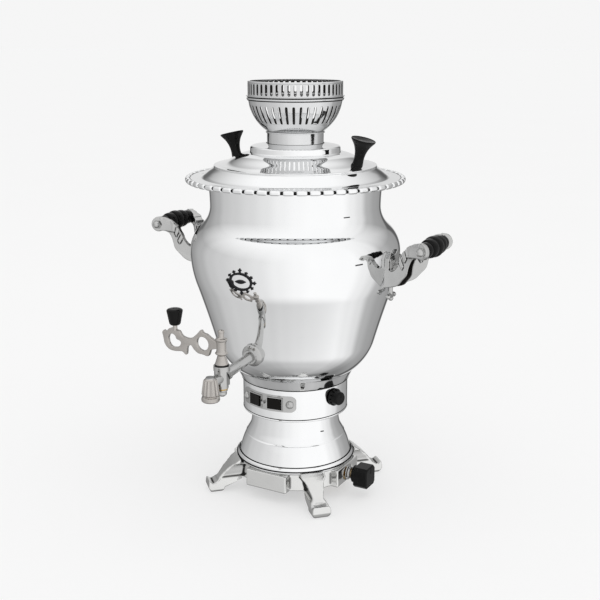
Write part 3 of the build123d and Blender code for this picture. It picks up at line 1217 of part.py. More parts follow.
def gas_inlet():
    # a hose barb through the back panel with a clamping shoulder inside
    y = PANEL_REACH
    barb = Pos(0, y + 3, VALVE_LEVEL) * Rot(-90, 0, 0) * Cylinder(BARB_RADIUS - 1.0, BARB_LENGTH, align=UP)
    ridges = []
    for i in range(3):
        ridge = turned(polygon((0, 0), (BARB_RADIUS, 0), (BARB_RADIUS - 1.0, 5.0), (0, 5.0)))
        ridges.append(Pos(0, y + 10 + 6 * i, VALVE_LEVEL) * Rot(-90, 0, 0) * ridge)
    shoulder = Pos(0, y, VALVE_LEVEL) * Rot(-90, 0, 0) * extrude(RegularPolygon(BARB_RADIUS + 4.0, 6), 3.0)
    neck = Pos(0, CASTING_CORE - 6, VALVE_LEVEL) * Rot(-90, 0, 0) * Cylinder(
        BARB_RADIUS, y - CASTING_CORE + 6, align=UP)
    body = barb + ridges[0] + ridges[1] + ridges[2] + shoulder + neck
    bore = Pos(0, 0, VALVE_LEVEL) * Rot(-90, 0, 0) * Cylinder(2.0, 200, align=UP)
    return body - bore


def gas_lock_nut():
    # against the flat-bottomed seat that the casting's wall leaves inside the back panel
    nut = extrude(RegularPolygon(BARB_RADIUS + 2.8, 6) - Circle(BARB_RADIUS + FIT), 4.0)
    seat = sqrt(CASTING_CORE ** 2 - (BARB_RADIUS + 2.8) ** 2)
    return Pos(0, seat - 4.0, VALVE_LEVEL) * Rot(-90, 0, 0) * nut


def gas_pipe():
    # from the valve's elbow round to the hose barb at the back
    start_y = VALVE_RADIUS + 5
    x = VALVE_BACK + 7.0
    end_y = CASTING_CORE - 6
    turn_y = sqrt((CASTING_CORE - 2 * PIPE_RADIUS) ** 2 - x ** 2)
    path = FilletPolyline(
        (x, start_y, VALVE_LEVEL), (x, turn_y, VALVE_LEVEL), (0, turn_y, VALVE_LEVEL),
        (0, end_y, VALVE_LEVEL), radius=8.0)
    return sweep(Plane(origin=path @ 0, z_dir=path % 0) * Circle(PIPE_RADIUS), path)


def burner():
    # head, ports, mixing tube and bell mouth that faces the valve's jet
    low = BURNER_LEVEL
    head = turned(polygon((0, low), (BURNER_RADIUS - 3, low), (BURNER_RADIUS, low + 3),
                          (BURNER_RADIUS, low + 7), (BURNER_RADIUS - 3, low + 10), (0, low + 10)))
    tube_z = VALVE_LEVEL
    riser = disc(RISER_RADIUS, tube_z - RISER_RADIUS, low + 1)
    mouth_x = VALVE_BACK - 13.0
    throat = Pos(0, 0, tube_z) * Rot(0, 90, 0) * Cylinder(RISER_RADIUS, mouth_x, align=UP)
    bell = Pos(mouth_x, 0, tube_z) * Rot(0, 90, 0) * Cylinder(8.6, 3.0, align=DOWN)
    body = head + riser + throat + bell
    hollow = Pos(0, 0, tube_z) * Rot(0, 90, 0) * Cylinder(5.4, 60, align=UP)
    up = disc(5.4, tube_z - 4, low + 7)
    ports = [front_turn(15 * i) * Pos(0, -BURNER_RADIUS + 3, low + 5) * Rot(90, 0, 0) * Cylinder(1.0, 8)
             for i in range(24)]
    plenum = disc(BURNER_RADIUS - 5, low + 3, low + 7)
    return without(body, [hollow, up, plenum] + ports)


def burner_bracket():
    # a flat bar across the deck opening that carries the burner's riser
    middle = DECK_Z + BRACKET_THICK / 2
    bar = Pos(0, 0, middle) * Box(12, 2 * BRACKET_BOLT + 5, BRACKET_THICK)
    eye = disc(13.0, DECK_Z, DECK_Z + BRACKET_THICK)
    hole = disc(RISER_RADIUS + SLIP, DECK_Z - 10, DECK_Z + 10)
    bolts = [Pos(0, s * BRACKET_BOLT, middle) * Cylinder(BOLT_RADIUS + SLIP, 20) for s in (-1, 1)]
    return front_turn(BRACKET_TURN) * without(bar + eye, [hole] + bolts)


def bracket_bolt(side):
    # a cheese-head bolt down through the bar and the deck, with its nut under the deck
    top = DECK_Z + BRACKET_THICK
    head = Pos(0, side * BRACKET_BOLT, top) * Cylinder(3.4, 2.4, align=UP)
    shank = Pos(0, side * BRACKET_BOLT, top + 1) * Cylinder(
        BOLT_RADIUS, BRACKET_THICK + CASTING_WALL + 5.2, align=DOWN)
    nut = Pos(0, side * BRACKET_BOLT, DECK_Z - CASTING_WALL - 3.2) * extrude(RegularPolygon(4.0, 6), 3.2)
    return front_turn(BRACKET_TURN) * (head + shank + nut)


# ---------------------------------------------------------------- electric parts
def heater():
    # a bent tube lying above the tank floor with two legs through it
    level = FOLD_Z + HEATER_LEVEL
    half_gap = 20.0
    big = Pos(0, 0, level) * Torus(HEATER_CIRCLE, HEATER_TUBE)
    loop = big - front_turn(HEATER_TURN) * (
        Pos(0, -HEATER_CIRCLE, level) * Box(2 * HEATER_CIRCLE * sin(radians(half_gap)), 30, 40))
    legs = []
    for side in (-1, 1):
        turn = HEATER_TURN + side * half_gap
        spot = front_turn(turn) * Pos(0, -HEATER_CIRCLE, 0)
        legs.append(spot * Pos(0, 0, FOLD_Z - 12) * Cylinder(HEATER_TUBE, level - FOLD_Z + 12, align=UP))
        legs.append(spot * Pos(0, 0, level) * Sphere(HEATER_TUBE))
    body = loop
    for leg_piece in legs:
        body = body + leg_piece
    return body


def heater_turns():
    return [HEATER_TURN - 20.0, HEATER_TURN + 20.0]


def heater_nuts():
    nuts = []
    for turn in heater_turns():
        spot = front_turn(turn) * Pos(0, -HEATER_CIRCLE, 0)
        lower = extrude(RegularPolygon(HEATER_TUBE + 3.4, 6) - Circle(HEATER_TUBE + SLIP), 3.6)
        nuts.append(spot * Pos(0, 0, FOLD_Z - TANK_FLOOR - 3.6) * lower)
        nuts.append(spot * ring(HEATER_TUBE + SLIP, HEATER_TUBE + 3.4, FOLD_Z, FOLD_Z + 1.6))
    return nuts


def power_inlet():
    # a shrouded appliance inlet with three blades on the back of the band
    outer = extrude(RectangleRounded(2 * INLET_HALF, INLET_HEIGHT, 3.0), INLET_PROUD)
    neck = Pos(0, 0, -9) * extrude(RectangleRounded(2 * INLET_HALF - 6.4, INLET_HEIGHT - 6.4, 1.5), 9.5)
    well = Pos(0, 0, -6) * extrude(RectangleRounded(2 * INLET_HALF - 9.2, INLET_HEIGHT - 9.2, 1.2), 20)
    blades = [Pos(x, y, -7) * Box(1.4, 4.0, 11, align=UP)
              for x, y in ((-5.0, -1.0), (5.0, -1.0), (0, 1.6))]
    body = outer + neck - well
    for blade in blades:
        body = body + blade
    placed = outward(180, BAND_RADIUS - 0.9, INLET_LEVEL) * body
    inside = disc(BAND_RADIUS, BAND_Z - 5, BAND_TOP + 5) \
        - outward(180, BAND_RADIUS - 16, INLET_LEVEL) * extrude(
            RectangleRounded(2 * INLET_HALF - 6.4, INLET_HEIGHT - 6.4, 1.5), 30)
    return placed - inside


# ---------------------------------------------------------------- build and write
tube_hole = tube_frame() * Cylinder(TUBE_RADIUS + SLIP, 200, align=UP)
tube_hole = tube_hole & (Pos(0, -TAP_SEAT, TAP_ROOT_Z) * Box(60, 60, 60))
bracket_holes = [s for h in BRACKET_SCREWS for s in pair(bracket_screw_hole(h))]
urn = without(urn_shell(), [tube_hole] + bracket_holes)
heater_holes = [front_turn(t) * Pos(0, -HEATER_CIRCLE, FOLD_Z) * Cylinder(HEATER_TUBE + SLIP, 20)
                for t in heater_turns()]
floor_plate = without(tank_floor(), heater_holes)

save("foot_casting", foot_casting())
save("base_ring", base_ring())
save("skirt", skirt())
save("control_band", control_band())
save("heat_duct", heat_duct())
save("urn_shell", urn)
save("tank_floor", floor_plate)
save("flue_tube", flue_tube())
save("gallery_dish", gallery())
save("gallery_beading", gallery_beading())
save("medallion", medallion())
save("lid_shell", lid_shell())
save("lid_knobs", lid_knob(1), lid_knob(-1))
save("lid_knob_screws", knob_screw(1), knob_screw(-1))
save("crown_bowl", crown_bowl())
save("crown_beading", crown_beading())
save("crown_band", crown_band())
save("handle_brackets", *pair(handle_bracket()))
save("handle_grips", *pair(handle_grip()))
save("handle_rods", *pair(grip_rod()))
save("handle_nuts", *[n for s in (-1, 1) for n in pair(grip_nut(s))])
save("handle_finials", *pair(bracket_finial()))
save("bracket_screws", *[p for h in BRACKET_SCREWS for p in pair(bracket_screw(h))])
save("tap_body", tap_body())
save("tap_flange", tap_flange())
save("tap_lock_nut", tap_lock_nut())
save("tap_washer", tap_washer())
save("tap_nozzle", tap_nozzle())
save("tap_seal", tap_seal())
save("tap_plug", tap_plug())
save("tap_lever", tap_lever())
save("tap_lever_knob", lever_knob())
save("tap_retainer", tap_retainer())
save("tap_retainer_washer", retainer_washer())
save("switch_panel", switch_panel())
save("panel_screws", *[panel_screw(t, DOME_RADIUS) for t in dome_turns()], panel_screw(PANEL_MIDDLE, 1.9))
save("switch_frames", *[switch_frame(t) for t in rocker_turns()])
save("switch_terminals", *[b for t in rocker_turns() for b in switch_terminals(t)])
save("power_rocker", rocker(rocker_turns()[0]))
save("heat_rocker", rocker(rocker_turns()[1]))
save("thermostat_body", thermostat_body())
save("thermostat_bulb", thermostat_bulb())
save("thermostat_knob", thermostat_knob())
save("heating_element", heater())
save("heater_nuts", *heater_nuts())
save("power_inlet", power_inlet())
save("gas_valve", gas_valve())
save("valve_bezel", valve_bezel())
save("valve_stem", valve_stem())
save("gas_knob", gas_knob())
save("gas_inlet", gas_inlet())
save("gas_lock_nut", gas_lock_nut())
save("gas_pipe", gas_pipe())
save("burner", burner())
save("burner_bracket", burner_bracket())
save("burner_bolts", *[bracket_bolt(s) for s in (-1, 1)])
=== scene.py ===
import json
import math
from contextlib import contextmanager

import bmesh
import bpy
import numpy as np
from bpy.props import FloatProperty, FloatVectorProperty, IntProperty, PointerProperty
from mathutils import Matrix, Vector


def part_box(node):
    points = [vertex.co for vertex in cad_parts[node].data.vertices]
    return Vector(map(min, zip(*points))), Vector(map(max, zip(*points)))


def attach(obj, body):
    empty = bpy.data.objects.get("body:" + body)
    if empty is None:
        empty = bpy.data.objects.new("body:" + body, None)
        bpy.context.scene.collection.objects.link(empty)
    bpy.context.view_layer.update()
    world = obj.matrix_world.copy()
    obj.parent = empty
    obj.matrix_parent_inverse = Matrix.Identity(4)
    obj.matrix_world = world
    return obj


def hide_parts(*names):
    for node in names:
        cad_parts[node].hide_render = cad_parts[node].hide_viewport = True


bl_info = {
    "name": "Samovar dressing",
    "version": (1, 0, 0),
    "blender": (4, 5, 0),
    "location": "View3D > Sidebar > Samovar",
    "description": "Polished surfaces and finishes for a samovar around its packed frame",
    "category": "Object",
}

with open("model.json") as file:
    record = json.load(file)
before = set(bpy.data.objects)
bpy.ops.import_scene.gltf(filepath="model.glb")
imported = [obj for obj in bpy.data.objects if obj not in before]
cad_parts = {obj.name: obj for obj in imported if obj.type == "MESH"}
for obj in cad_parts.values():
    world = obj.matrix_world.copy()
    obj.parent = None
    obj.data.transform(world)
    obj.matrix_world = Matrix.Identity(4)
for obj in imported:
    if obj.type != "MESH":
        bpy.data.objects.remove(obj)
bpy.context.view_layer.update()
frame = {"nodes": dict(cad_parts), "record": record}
NODE_BODY = {node: body for body, nodes in frame["record"]["behaviour"]["bodies"].items() for node in nodes}
MM = 0.001
TURNS = 256          # divisions around a large turned piece
SMALL_TURNS = 64     # divisions around a small turned piece
SLOT_POINTS = 40     # points around a slot
TINY = 1e-9          # keeps divisions by a length safe
SAME_POINT = 1e-6    # points of a line closer than this are one, millimetres
MERGE_WITHIN = 2e-6  # points of a mesh closer than this become one, metres
SHARP = 32.0         # edges of a made piece stay sharp above this angle, degrees
COPY_SHARP = 28.0    # the same for a copied piece
FLAT_WITHIN = 0.6    # faces of a copied piece are joined below this angle, degrees
CAMERA_SIDE = -61.0  # direction of the camera from the axis, degrees from +X


def levels(node):
    """The lowest and the highest level of a CAD node, in millimetres above the floor."""
    low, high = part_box(node)
    return low[2] / MM, high[2] / MM


def far_edge(node):
    """How far a CAD node reaches toward +X, in millimetres."""
    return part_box(node)[1][0] / MM


# ------------------------------------------------------------------ sizes and colours

def length(name, description, default):
    return FloatProperty(name=name, description=description, default=default, unit="LENGTH")


def number(name, description, default, least):
    return IntProperty(name=name, description=description, default=default, min=least)


def tint(name, description, default):
    return FloatVectorProperty(name=name, description=description, default=default, subtype="COLOR",
                               min=0, max=1)


class SamovarSizes(bpy.types.PropertyGroup):
    """Sizes of the visible surfaces, in metres."""

    belly_radius: length("Belly radius", "Radius of the urn at its widest line", 0.1158)
    belly_height: length("Belly height", "Floor to the urn's widest line", 0.277)
    neck_radius: length("Neck radius", "Radius of the urn at its narrow neck", 0.0934)
    neck_height: length("Neck height", "Floor to the narrow neck", 0.327)
    mouth_radius: length("Mouth radius", "Radius of the urn's open edge", 0.095)
    mouth_height: length("Mouth height", "Floor to the urn's open edge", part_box("urn_shell")[1][2])
    fold_radius: length("Fold radius", "Radius of the fold between the urn and its foot rim", 0.0676)
    fold_height: length("Fold height", "Floor to that fold", 0.1436)
    wall: length("Sheet thickness", "Thickness of the pressed steel", 0.0012)
    bead_count: number("Gallery beads", "Number of long beads around the gallery", 56, 12)
    bowl_slots: number("Bowl slots", "Number of upright slots in the crown's bowl", 40, 8)
    band_slots: number("Band slots", "Number of round-ended slots in the crown's band", 50, 8)
    nozzle_flutes: number("Nozzle flutes", "Number of flutes around the tap's nozzle", 14, 4)


class SamovarFinishes(bpy.types.PropertyGroup):
    """Colours and gloss of the finishes."""

    steel: tint("Polished steel", "Colour of the mirror-polished steel", (0.86, 0.865, 0.87))
    casting: tint("Plated casting", "Colour of the plated castings", (0.70, 0.70, 0.69))
    fittings: tint("Plated fittings", "Colour of the small plated fittings", (0.50, 0.50, 0.495))
    nickel: tint("Nickel", "Colour of the tap's warm nickel plating", (0.50, 0.475, 0.45))
    brass: tint("Brass", "Colour of the bare brass fittings", (0.62, 0.42, 0.15))
    black: tint("Black plastic", "Colour of the grips and knobs", (0.006, 0.006, 0.006))
    enamel: tint("Badge enamel", "Colour of the badge's dark enamel", (0.012, 0.012, 0.014))
    polish: FloatProperty(name="Polish roughness", description="Roughness of the polished steel",
                          default=0.035, subtype="FACTOR", min=0.0, max=1.0)
    floor: tint("Floor", "Colour of the studio floor", (0.42, 0.42, 0.42))
    floor_glow: FloatProperty(name="Floor glow", description="Light that the floor gives by itself",
                              default=0.51, min=0.0, max=2.0)


def size(name):
    """A size in millimetres, as the surface functions use it."""
    return getattr(bpy.context.scene.samovar_sizes, name) / MM


def finish_value(name):
    return getattr(bpy.context.scene.samovar_finishes, name)


# ------------------------------------------------------------------ lines

def tangent_arc(start, direction, end, count):
    """Points from start to end on the circle that leaves start along direction. With n square to the
    direction and d = end - start, the radius is d.d / (2 n.d) and the centre is start + radius n."""
    start, direction, end = (np.array(v, float) for v in (start, direction, end))
    square = np.array([-direction[1], direction[0]]) / np.hypot(*direction)
    chord = end - start
    radius = chord @ chord / (2 * square @ chord)
    centre = start + radius * square
    first = np.arctan2(*(start - centre)[::-1])
    sweep = np.arctan2(*(end - centre)[::-1]) - first
    sweep = (sweep + np.pi) % (2 * np.pi) - np.pi
    angles = first + sweep * np.linspace(0, 1, count)
    return centre + abs(radius) * np.stack([np.cos(angles), np.sin(angles)], 1)


def arc_end(start, direction, end):
    """The direction in which tangent_arc arrives at its end: the first direction mirrored in the chord."""
    direction = np.array(direction, float) / np.hypot(*direction)
    chord = np.array(end, float) - np.array(start, float)
    chord /= np.hypot(*chord)
    return 2 * (direction @ chord) * chord - direction


def arcs_through(start, direction, *ends):
    """A line of arcs that meet tangentially: each end is a point and the number of points of its arc."""
    line = [[start]]
    for end, count in ends:
        line.append(tangent_arc(start, direction, end, count)[1:])
        start, direction = end, arc_end(start, direction, end)
    return np.vstack(line)


def arc_through(a, m, b, count):
    """Points on the circle through a, m and b, from a to b. Its centre c is as far from all three:
    2 (m - a).c = m.m - a.a, and 2 (b - a).c = b.b - a.a."""
    a, m, b = (np.array(p, float) for p in (a, m, b))
    centre = np.linalg.solve(2 * np.array([m - a, b - a]), [m @ m - a @ a, b @ b - a @ a])
    start, end = (np.arctan2(*(p - centre)[::-1]) for p in (a, b))
    radius = np.hypot(*(a - centre))
    return oval(*centre, radius, radius, np.linspace(start, end, count))


def circle_angles(count):
    return np.linspace(0, 2 * np.pi, count, endpoint=False)


def oval(x, y, a, b, angles):
    """The points (x + a cos t, y + b sin t) for the angles t."""
    return np.stack([x + a * np.cos(angles), y + b * np.sin(angles)], 1)


def smooth_line(points, count):
    """A line through all points: a cubic between each two, whose slopes there are half the step from
    the point before to the point after (the Catmull-Rom form)."""
    p = np.array(points, float)
    slopes = np.gradient(p, axis=0)
    t = np.linspace(0, len(p) - 1, count)
    i = np.minimum(t.astype(int), len(p) - 2)
    u = (t - i)[:, None]
    return ((2 * u**3 - 3 * u**2 + 1) * p[i] + (u**3 - 2 * u**2 + u) * slopes[i]
            + (3 * u**2 - 2 * u**3) * p[i + 1] + (u**3 - u**2) * slopes[i + 1])


def eased(points, radius, steps=4, closed=False):
    """A line whose corners are rounded: from a corner p, points a and b at the radius along both
    sides (at most 45 % of each) are joined by (1-t)^2 a + 2 t (1-t) p + t^2 b."""
    p = np.array(points, float)
    before, after = np.roll(p, 1, 0), np.roll(p, -1, 0)
    to_before, to_after = before - p, after - p
    long_before = np.maximum(np.linalg.norm(to_before, axis=1), TINY)
    long_after = np.maximum(np.linalg.norm(to_after, axis=1), TINY)
    setback = np.minimum(radius, 0.45 * np.minimum(long_before, long_after))
    if not closed:
        setback[[0, -1]] = 0
    a = p + to_before * (setback / long_before)[:, None]
    b = p + to_after * (setback / long_after)[:, None]
    t = np.linspace(0, 1, steps)[None, :, None]
    curve = (1 - t) ** 2 * a[:, None] + 2 * t * (1 - t) * p[:, None] + t**2 * b[:, None]
    line = curve.reshape(-1, p.shape[1])
    keep = np.r_[True, np.linalg.norm(np.diff(line, axis=0), axis=1) > SAME_POINT]
    return line[keep]


def split_long(line, longest):
    """The same line with its long straight steps divided, so that the surface bends evenly."""
    steps = np.linalg.norm(np.diff(line, axis=0), axis=1)
    parts = np.maximum(1, np.ceil(steps / longest)).astype(int)
    starts = np.repeat(np.arange(len(parts)), parts)
    offset = np.arange(parts.sum()) - np.repeat(np.r_[0, np.cumsum(parts)[:-1]], parts)
    share = (offset / parts[starts])[:, None]
    return np.vstack([line[starts] + (line[starts + 1] - line[starts]) * share, line[-1:]])


def offset_line(line, distance):
    """The line moved square to itself, to its left for a positive distance."""
    slope = np.gradient(line, axis=0)
    slope /= np.maximum(np.linalg.norm(slope, axis=1), TINY)[:, None]
    return line + distance * np.stack([-slope[:, 1], slope[:, 0]], 1)


# ------------------------------------------------------------------ surfaces

def grid_faces(rows, columns, wrap_rows=False, wrap_columns=False):
    """Quads between neighbouring points of a grid of rows x columns, closed on itself where asked."""
    i = np.arange(rows if wrap_rows else rows - 1)[:, None]
    j = np.arange(columns if wrap_columns else columns - 1)[None, :]
    i2, j2 = (i + 1) % rows, (j + 1) % columns
    quads = [i * columns + j, i * columns + j2, i2 * columns + j2, i2 * columns + j]
    return np.stack([np.broadcast_to(q, (i.shape[0], j.shape[1])) for q in quads], -1).reshape(-1, 4)


def turned(line, turns=TURNS, closed=True):
    """A line of (radius, height) carried around the vertical axis: point (r cos a, r sin a, z) for
    every angle a. A closed line gives a ring, an open one ends on the axis."""
    line = np.array(line, float)
    a = circle_angles(turns)
    spots = np.empty((len(line), turns, 3))
    spots[..., 0] = line[:, :1] * np.cos(a)
    spots[..., 1] = line[:, :1] * np.sin(a)
    spots[..., 2] = line[:, 1:]
    return spots.reshape(-1, 3), grid_faces(len(line), turns, closed, True)


def ring_line(radius, height, half):
    """A round outline of the given half thickness around the point (radius, height)."""
    return oval(radius, height, half, half, circle_angles(8))


def fluted(surface, count, depth, low, high):
    """A turned surface whose radius shrinks by depth |sin(count a / 2)| at angle a between two heights."""
    spots, faces = surface
    radius = np.maximum(np.hypot(spots[:, 0], spots[:, 1]), SAME_POINT)
    a = np.arctan2(spots[:, 1], spots[:, 0])
    inside = (spots[:, 2] > low) & (spots[:, 2] < high)
    share = 1 - depth * np.abs(np.sin(count * a / 2)) * inside / radius
    return np.stack([spots[:, 0] * share, spots[:, 1] * share, spots[:, 2]], 1), faces


def placed(surface, place, angle=0.0, axis="X"):
    """A surface turned by an angle in degrees about an axis through the origin, then moved."""
    spots, faces = surface
    turn = np.array(Matrix.Rotation(math.radians(angle), 3, axis), float)
    return spots @ turn.T + place, faces


def joined(surfaces):
    """Several surfaces as one list of points and faces."""
    shift = np.cumsum([0] + [len(s) for s, _ in surfaces])
    return np.vstack([s for s, _ in surfaces]), np.vstack([f + n for (_, f), n in zip(surfaces, shift)])


def marked(*parts):
    """Surfaces as one, and a mark for each face: every part is a surface and its mark or marks."""
    marks = [np.broadcast_to(mark, len(surface[1])) for surface, mark in parts]
    return joined([surface for surface, _ in parts]), np.concatenate(marks)


def around(surface, count):
    """count copies of a surface, evenly turned about the vertical axis."""
    spots, faces = surface
    a = 2 * np.pi * np.arange(count) / count
    c, s = np.cos(a)[:, None], np.sin(a)[:, None]
    copies = np.empty((count,) + spots.shape)
    copies[..., 0] = c * spots[:, 0] - s * spots[:, 1]
    copies[..., 1] = s * spots[:, 0] + c * spots[:, 1]
    copies[..., 2] = spots[:, 2]
    all_faces = faces[None] + (np.arange(count) * len(spots))[:, None, None]
    return copies.reshape(-1, 3), all_faces.reshape(-1, faces.shape[1])


def pierced_wall(line, tiles, slot_half, slot_low, slot_high, thick, steps):
    """A turned wall of (radius, height) points pierced by tiles upright slots with round ends. Each
    tile is a grid that runs from the tile's own border to the slot's outline; a point's angle and
    height are blended between both, its radius is read from the line, and the second skin lies
    square behind it at the wall's thickness. slot_half is half a slot's width. Also returns the marks
    of the inner skin and the slots' walls."""
    straight_share, edge_break, crowding = 0.35, 0.12, 1.4
    t = circle_angles(SLOT_POINTS)
    across, up = np.cos(t), np.sin(t)
    mid, half = (slot_low + slot_high) / 2, (slot_high - slot_low) / 2
    mean_radius = np.interp(mid, line[:, 1], line[:, 0])
    slot_x = slot_half * np.sign(across) * np.abs(across) ** 0.5
    round_end = slot_half * np.sqrt(np.clip(1 - (slot_x / slot_half) ** 2, 0, 1))
    slot_z = mid + np.sign(up) * (half - slot_half + round_end)
    straight = np.abs(up) < straight_share
    slot_z = np.where(straight, mid + (half - slot_half) * up / straight_share, slot_z)
    slot_x = np.where(straight, slot_half * np.sign(across), slot_x)
    low, high = line[0, 1], line[-1, 1]
    square = np.maximum(np.abs(across), np.abs(up))
    border_x = np.pi * mean_radius / tiles * across / square
    border_z = (low + high) / 2 + (high - low) / 2 * up / square
    share = np.linspace(0, 1, steps)[:, None] ** crowding
    angle = (slot_x + share * (border_x - slot_x)) / mean_radius
    z = slot_z + share * (border_z - slot_z)
    slope = np.gradient(line, axis=0)
    slope /= np.linalg.norm(slope, axis=1)[:, None]
    radius, slope_r, slope_z = (np.interp(z, line[:, 1], v) for v in (line[:, 0], slope[:, 0], slope[:, 1]))
    broken = np.zeros((steps, 1))
    broken[0] = edge_break

    def skin(sink):
        r = radius - slope_z * sink
        return np.stack([r * np.sin(angle), -r * np.cos(angle), z + slope_r * sink], -1).reshape(-1, 3)

    grid = grid_faces(steps, SLOT_POINTS, False, True)
    n = steps * SLOT_POINTS
    ring = np.arange(SLOT_POINTS)
    following = (ring + 1) % SLOT_POINTS
    rim = (np.abs(z[-1] - low) < SAME_POINT) | (np.abs(z[-1] - high) < SAME_POINT)
    on = ring[rim & rim[following] & (np.abs(z[-1] - z[-1][following]) < SAME_POINT)]
    a, b = on + n - SLOT_POINTS, following[on] + n - SLOT_POINTS
    faces = [grid, grid[:, ::-1] + n, np.stack([ring, ring + n, following + n, following], 1),
             np.stack([a, b, b + n, a + n], 1)]
    # The inner skin and the slots' walls are marked for painted shade.
    marks = np.concatenate([np.full(len(f), dark) for f, dark in zip(faces, (False, True, True, False))])
    wall = np.vstack([skin(broken), skin(thick - broken)]), np.vstack(faces)
    return around(wall, tiles), np.tile(marks, tiles)


# ------------------------------------------------------------------ pieces

@contextmanager
def merged(mesh):
    """A mesh with its doubles merged, open for changes until the block ends."""
    bm = bmesh.new()
    bm.from_mesh(mesh)
    bmesh.ops.remove_doubles(bm, verts=bm.verts, dist=MERGE_WITHIN)
    yield bm
    bm.to_mesh(mesh)
    bm.free()


def shaded(mesh, sharp):
    mesh.shade_smooth()
    mesh.set_sharp_from_angle(angle=math.radians(sharp))


def coloured(mesh, *looks):
    """Gives a mesh these finishes in place of its own."""
    mesh.materials.clear()
    for look in looks:
        mesh.materials.append(finish(look))


def vectors(items, field):
    """A vector field of a mesh's points or faces, in rows of three."""
    values = np.empty(3 * len(items))
    items.foreach_get(field, values)
    return values.reshape(-1, 3)


def in_scene(name, data):
    thing = bpy.data.objects.new(name, data)
    bpy.context.scene.collection.objects.link(thing)
    return thing


def as_made(thing):
    """A new mesh of an object as its curve or its modifiers make it."""
    bpy.context.view_layer.update()
    return bpy.data.meshes.new_from_object(thing.evaluated_get(bpy.context.evaluated_depsgraph_get()))


def settled(piece, node):
    """Lets a piece ride on its body and stand for its CAD node."""
    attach(piece, NODE_BODY[node])
    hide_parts(node)


def finished(name, mesh, node, sharp):
    """A piece of the mesh: faces without area are dropped, closed shells turned outwards and the rest
    shaded smooth up to the sharp angle. Its CAD node has its own name where none is given."""
    with merged(mesh) as bm:
        bmesh.ops.dissolve_degenerate(bm, edges=bm.edges, dist=1e-7)
        bmesh.ops.recalc_face_normals(bm, faces=bm.faces)
    shaded(mesh, sharp)
    settled(in_scene(name, mesh), node or name)


def crease_marks(mesh, passes=3, gain=5.0):
    """Stores how hollow the surface is at each point as the attribute crease, 0.5 where it is flat: the
    mean of the neighbouring points less the point, along its normal and over the mean length of its
    edges, then averaged with the neighbours a few times."""
    spots, normals = vectors(mesh.vertices, "co"), vectors(mesh.vertices, "normal")
    count = len(spots)
    ends = np.empty(2 * len(mesh.edges), np.int32)
    mesh.edges.foreach_get("vertices", ends)
    a, b = ends.reshape(-1, 2).T
    one, two = np.r_[a, b], np.r_[b, a]
    shares = np.maximum(np.bincount(one, minlength=count), 1)

    def mean(values):
        return np.bincount(one, values, count) / shares

    lengths = mean(np.linalg.norm(spots[two] - spots[one], axis=1))
    towards = np.stack([mean(spots[two, k]) for k in range(3)], 1) - spots
    hollow = (towards * normals).sum(1) / np.maximum(lengths, TINY)
    for _ in range(passes):
        hollow = 0.5 * hollow + 0.5 * mean(hollow[two])
    marks = mesh.attributes.new("crease", "FLOAT", "POINT")
    marks.data.foreach_set("value", np.clip(0.5 + gain * hollow, 0, 1))


def make_piece(name, surface, look="steel", slot="polished_steel", node=None, sharp=SHARP, marks=None,
               marked_look="seam"):
    """A piece from points in millimetres and faces of four corners; marked faces get a second finish."""
    spots, faces = surface
    mesh = bpy.data.meshes.new(name)
    mesh.from_pydata(spots * MM, [], faces.tolist())
    if marks is None:
        coloured(mesh, look)
    else:
        coloured(mesh, look, marked_look)
        mesh.polygons.foreach_set("material_index", marks.astype(np.int32))
    finished(name, mesh, node, sharp)


def piece_with_seam_shade(name, line, *seam_shades, **options):
    """A turned line with rings of painted shade at its seams: rings of (radius, height, half thickness)."""
    surface, marks = marked((turned(line), False), *[(turned(ring_line(*seam)), True) for seam in seam_shades])
    make_piece(name, surface, marks=marks, **options)


def plate_mesh(name, outlines, half, edge, shape):
    """A plate between closed outlines, half its thickness to both sides and its edges rounded; shape
    takes its flat points (across, up, out) in millimetres and gives where they lie."""
    curve = bpy.data.curves.new(name, "CURVE")
    curve.dimensions = "2D"
    curve.fill_mode = "BOTH"
    curve.extrude = half - edge
    curve.bevel_depth = edge
    curve.bevel_resolution = 2
    curve.offset = -edge
    for outline in outlines:
        spline = curve.splines.new("POLY")
        spline.points.add(len(outline) - 1)
        flat = np.zeros((len(outline), 4))
        flat[:, :2], flat[:, 3] = outline, 1
        spline.points.foreach_set("co", flat.ravel())
        spline.use_cyclic_u = True
    drawn = in_scene(name, curve)
    mesh = as_made(drawn)
    bpy.data.objects.remove(drawn)
    bpy.data.curves.remove(curve)
    mesh.vertices.foreach_set("co", (shape(vectors(mesh.vertices, "co")) * MM).ravel())
    return mesh


def plate_piece(name, outlines, half, edge, shape, look, node=None):
    """A piece made of one plate."""
    mesh = plate_mesh(name, outlines, half, edge, shape)
    mesh.name = name
    coloured(mesh, look)
    finished(name, mesh, node, SHARP)


def node_copy(node):
    mesh = frame["nodes"][node].data.copy()
    mesh.name = node
    return mesh


def copied_piece(node, bevel=0.0, look="fittings", segments=2):
    """A merged copy of a CAD node with its flat faces joined again and its edges broken by a bevel."""
    mesh = node_copy(node)
    with merged(mesh) as bm:
        bmesh.ops.dissolve_limit(bm, angle_limit=math.radians(FLAT_WITHIN), verts=bm.verts, edges=bm.edges,
                                 delimit={"NORMAL"})
    coloured(mesh, look)
    shaded(mesh, COPY_SHARP)
    piece = in_scene(node, mesh)
    if bevel:
        edge = piece.modifiers.new("Broken edges", "BEVEL")
        edge.width = bevel * MM
        edge.segments = segments
        edge.limit_method = "ANGLE"
        edge.angle_limit = math.radians(COPY_SHARP)
        edge.harden_normals = True
        edge.use_clamp_overlap = True
    settled(piece, node)


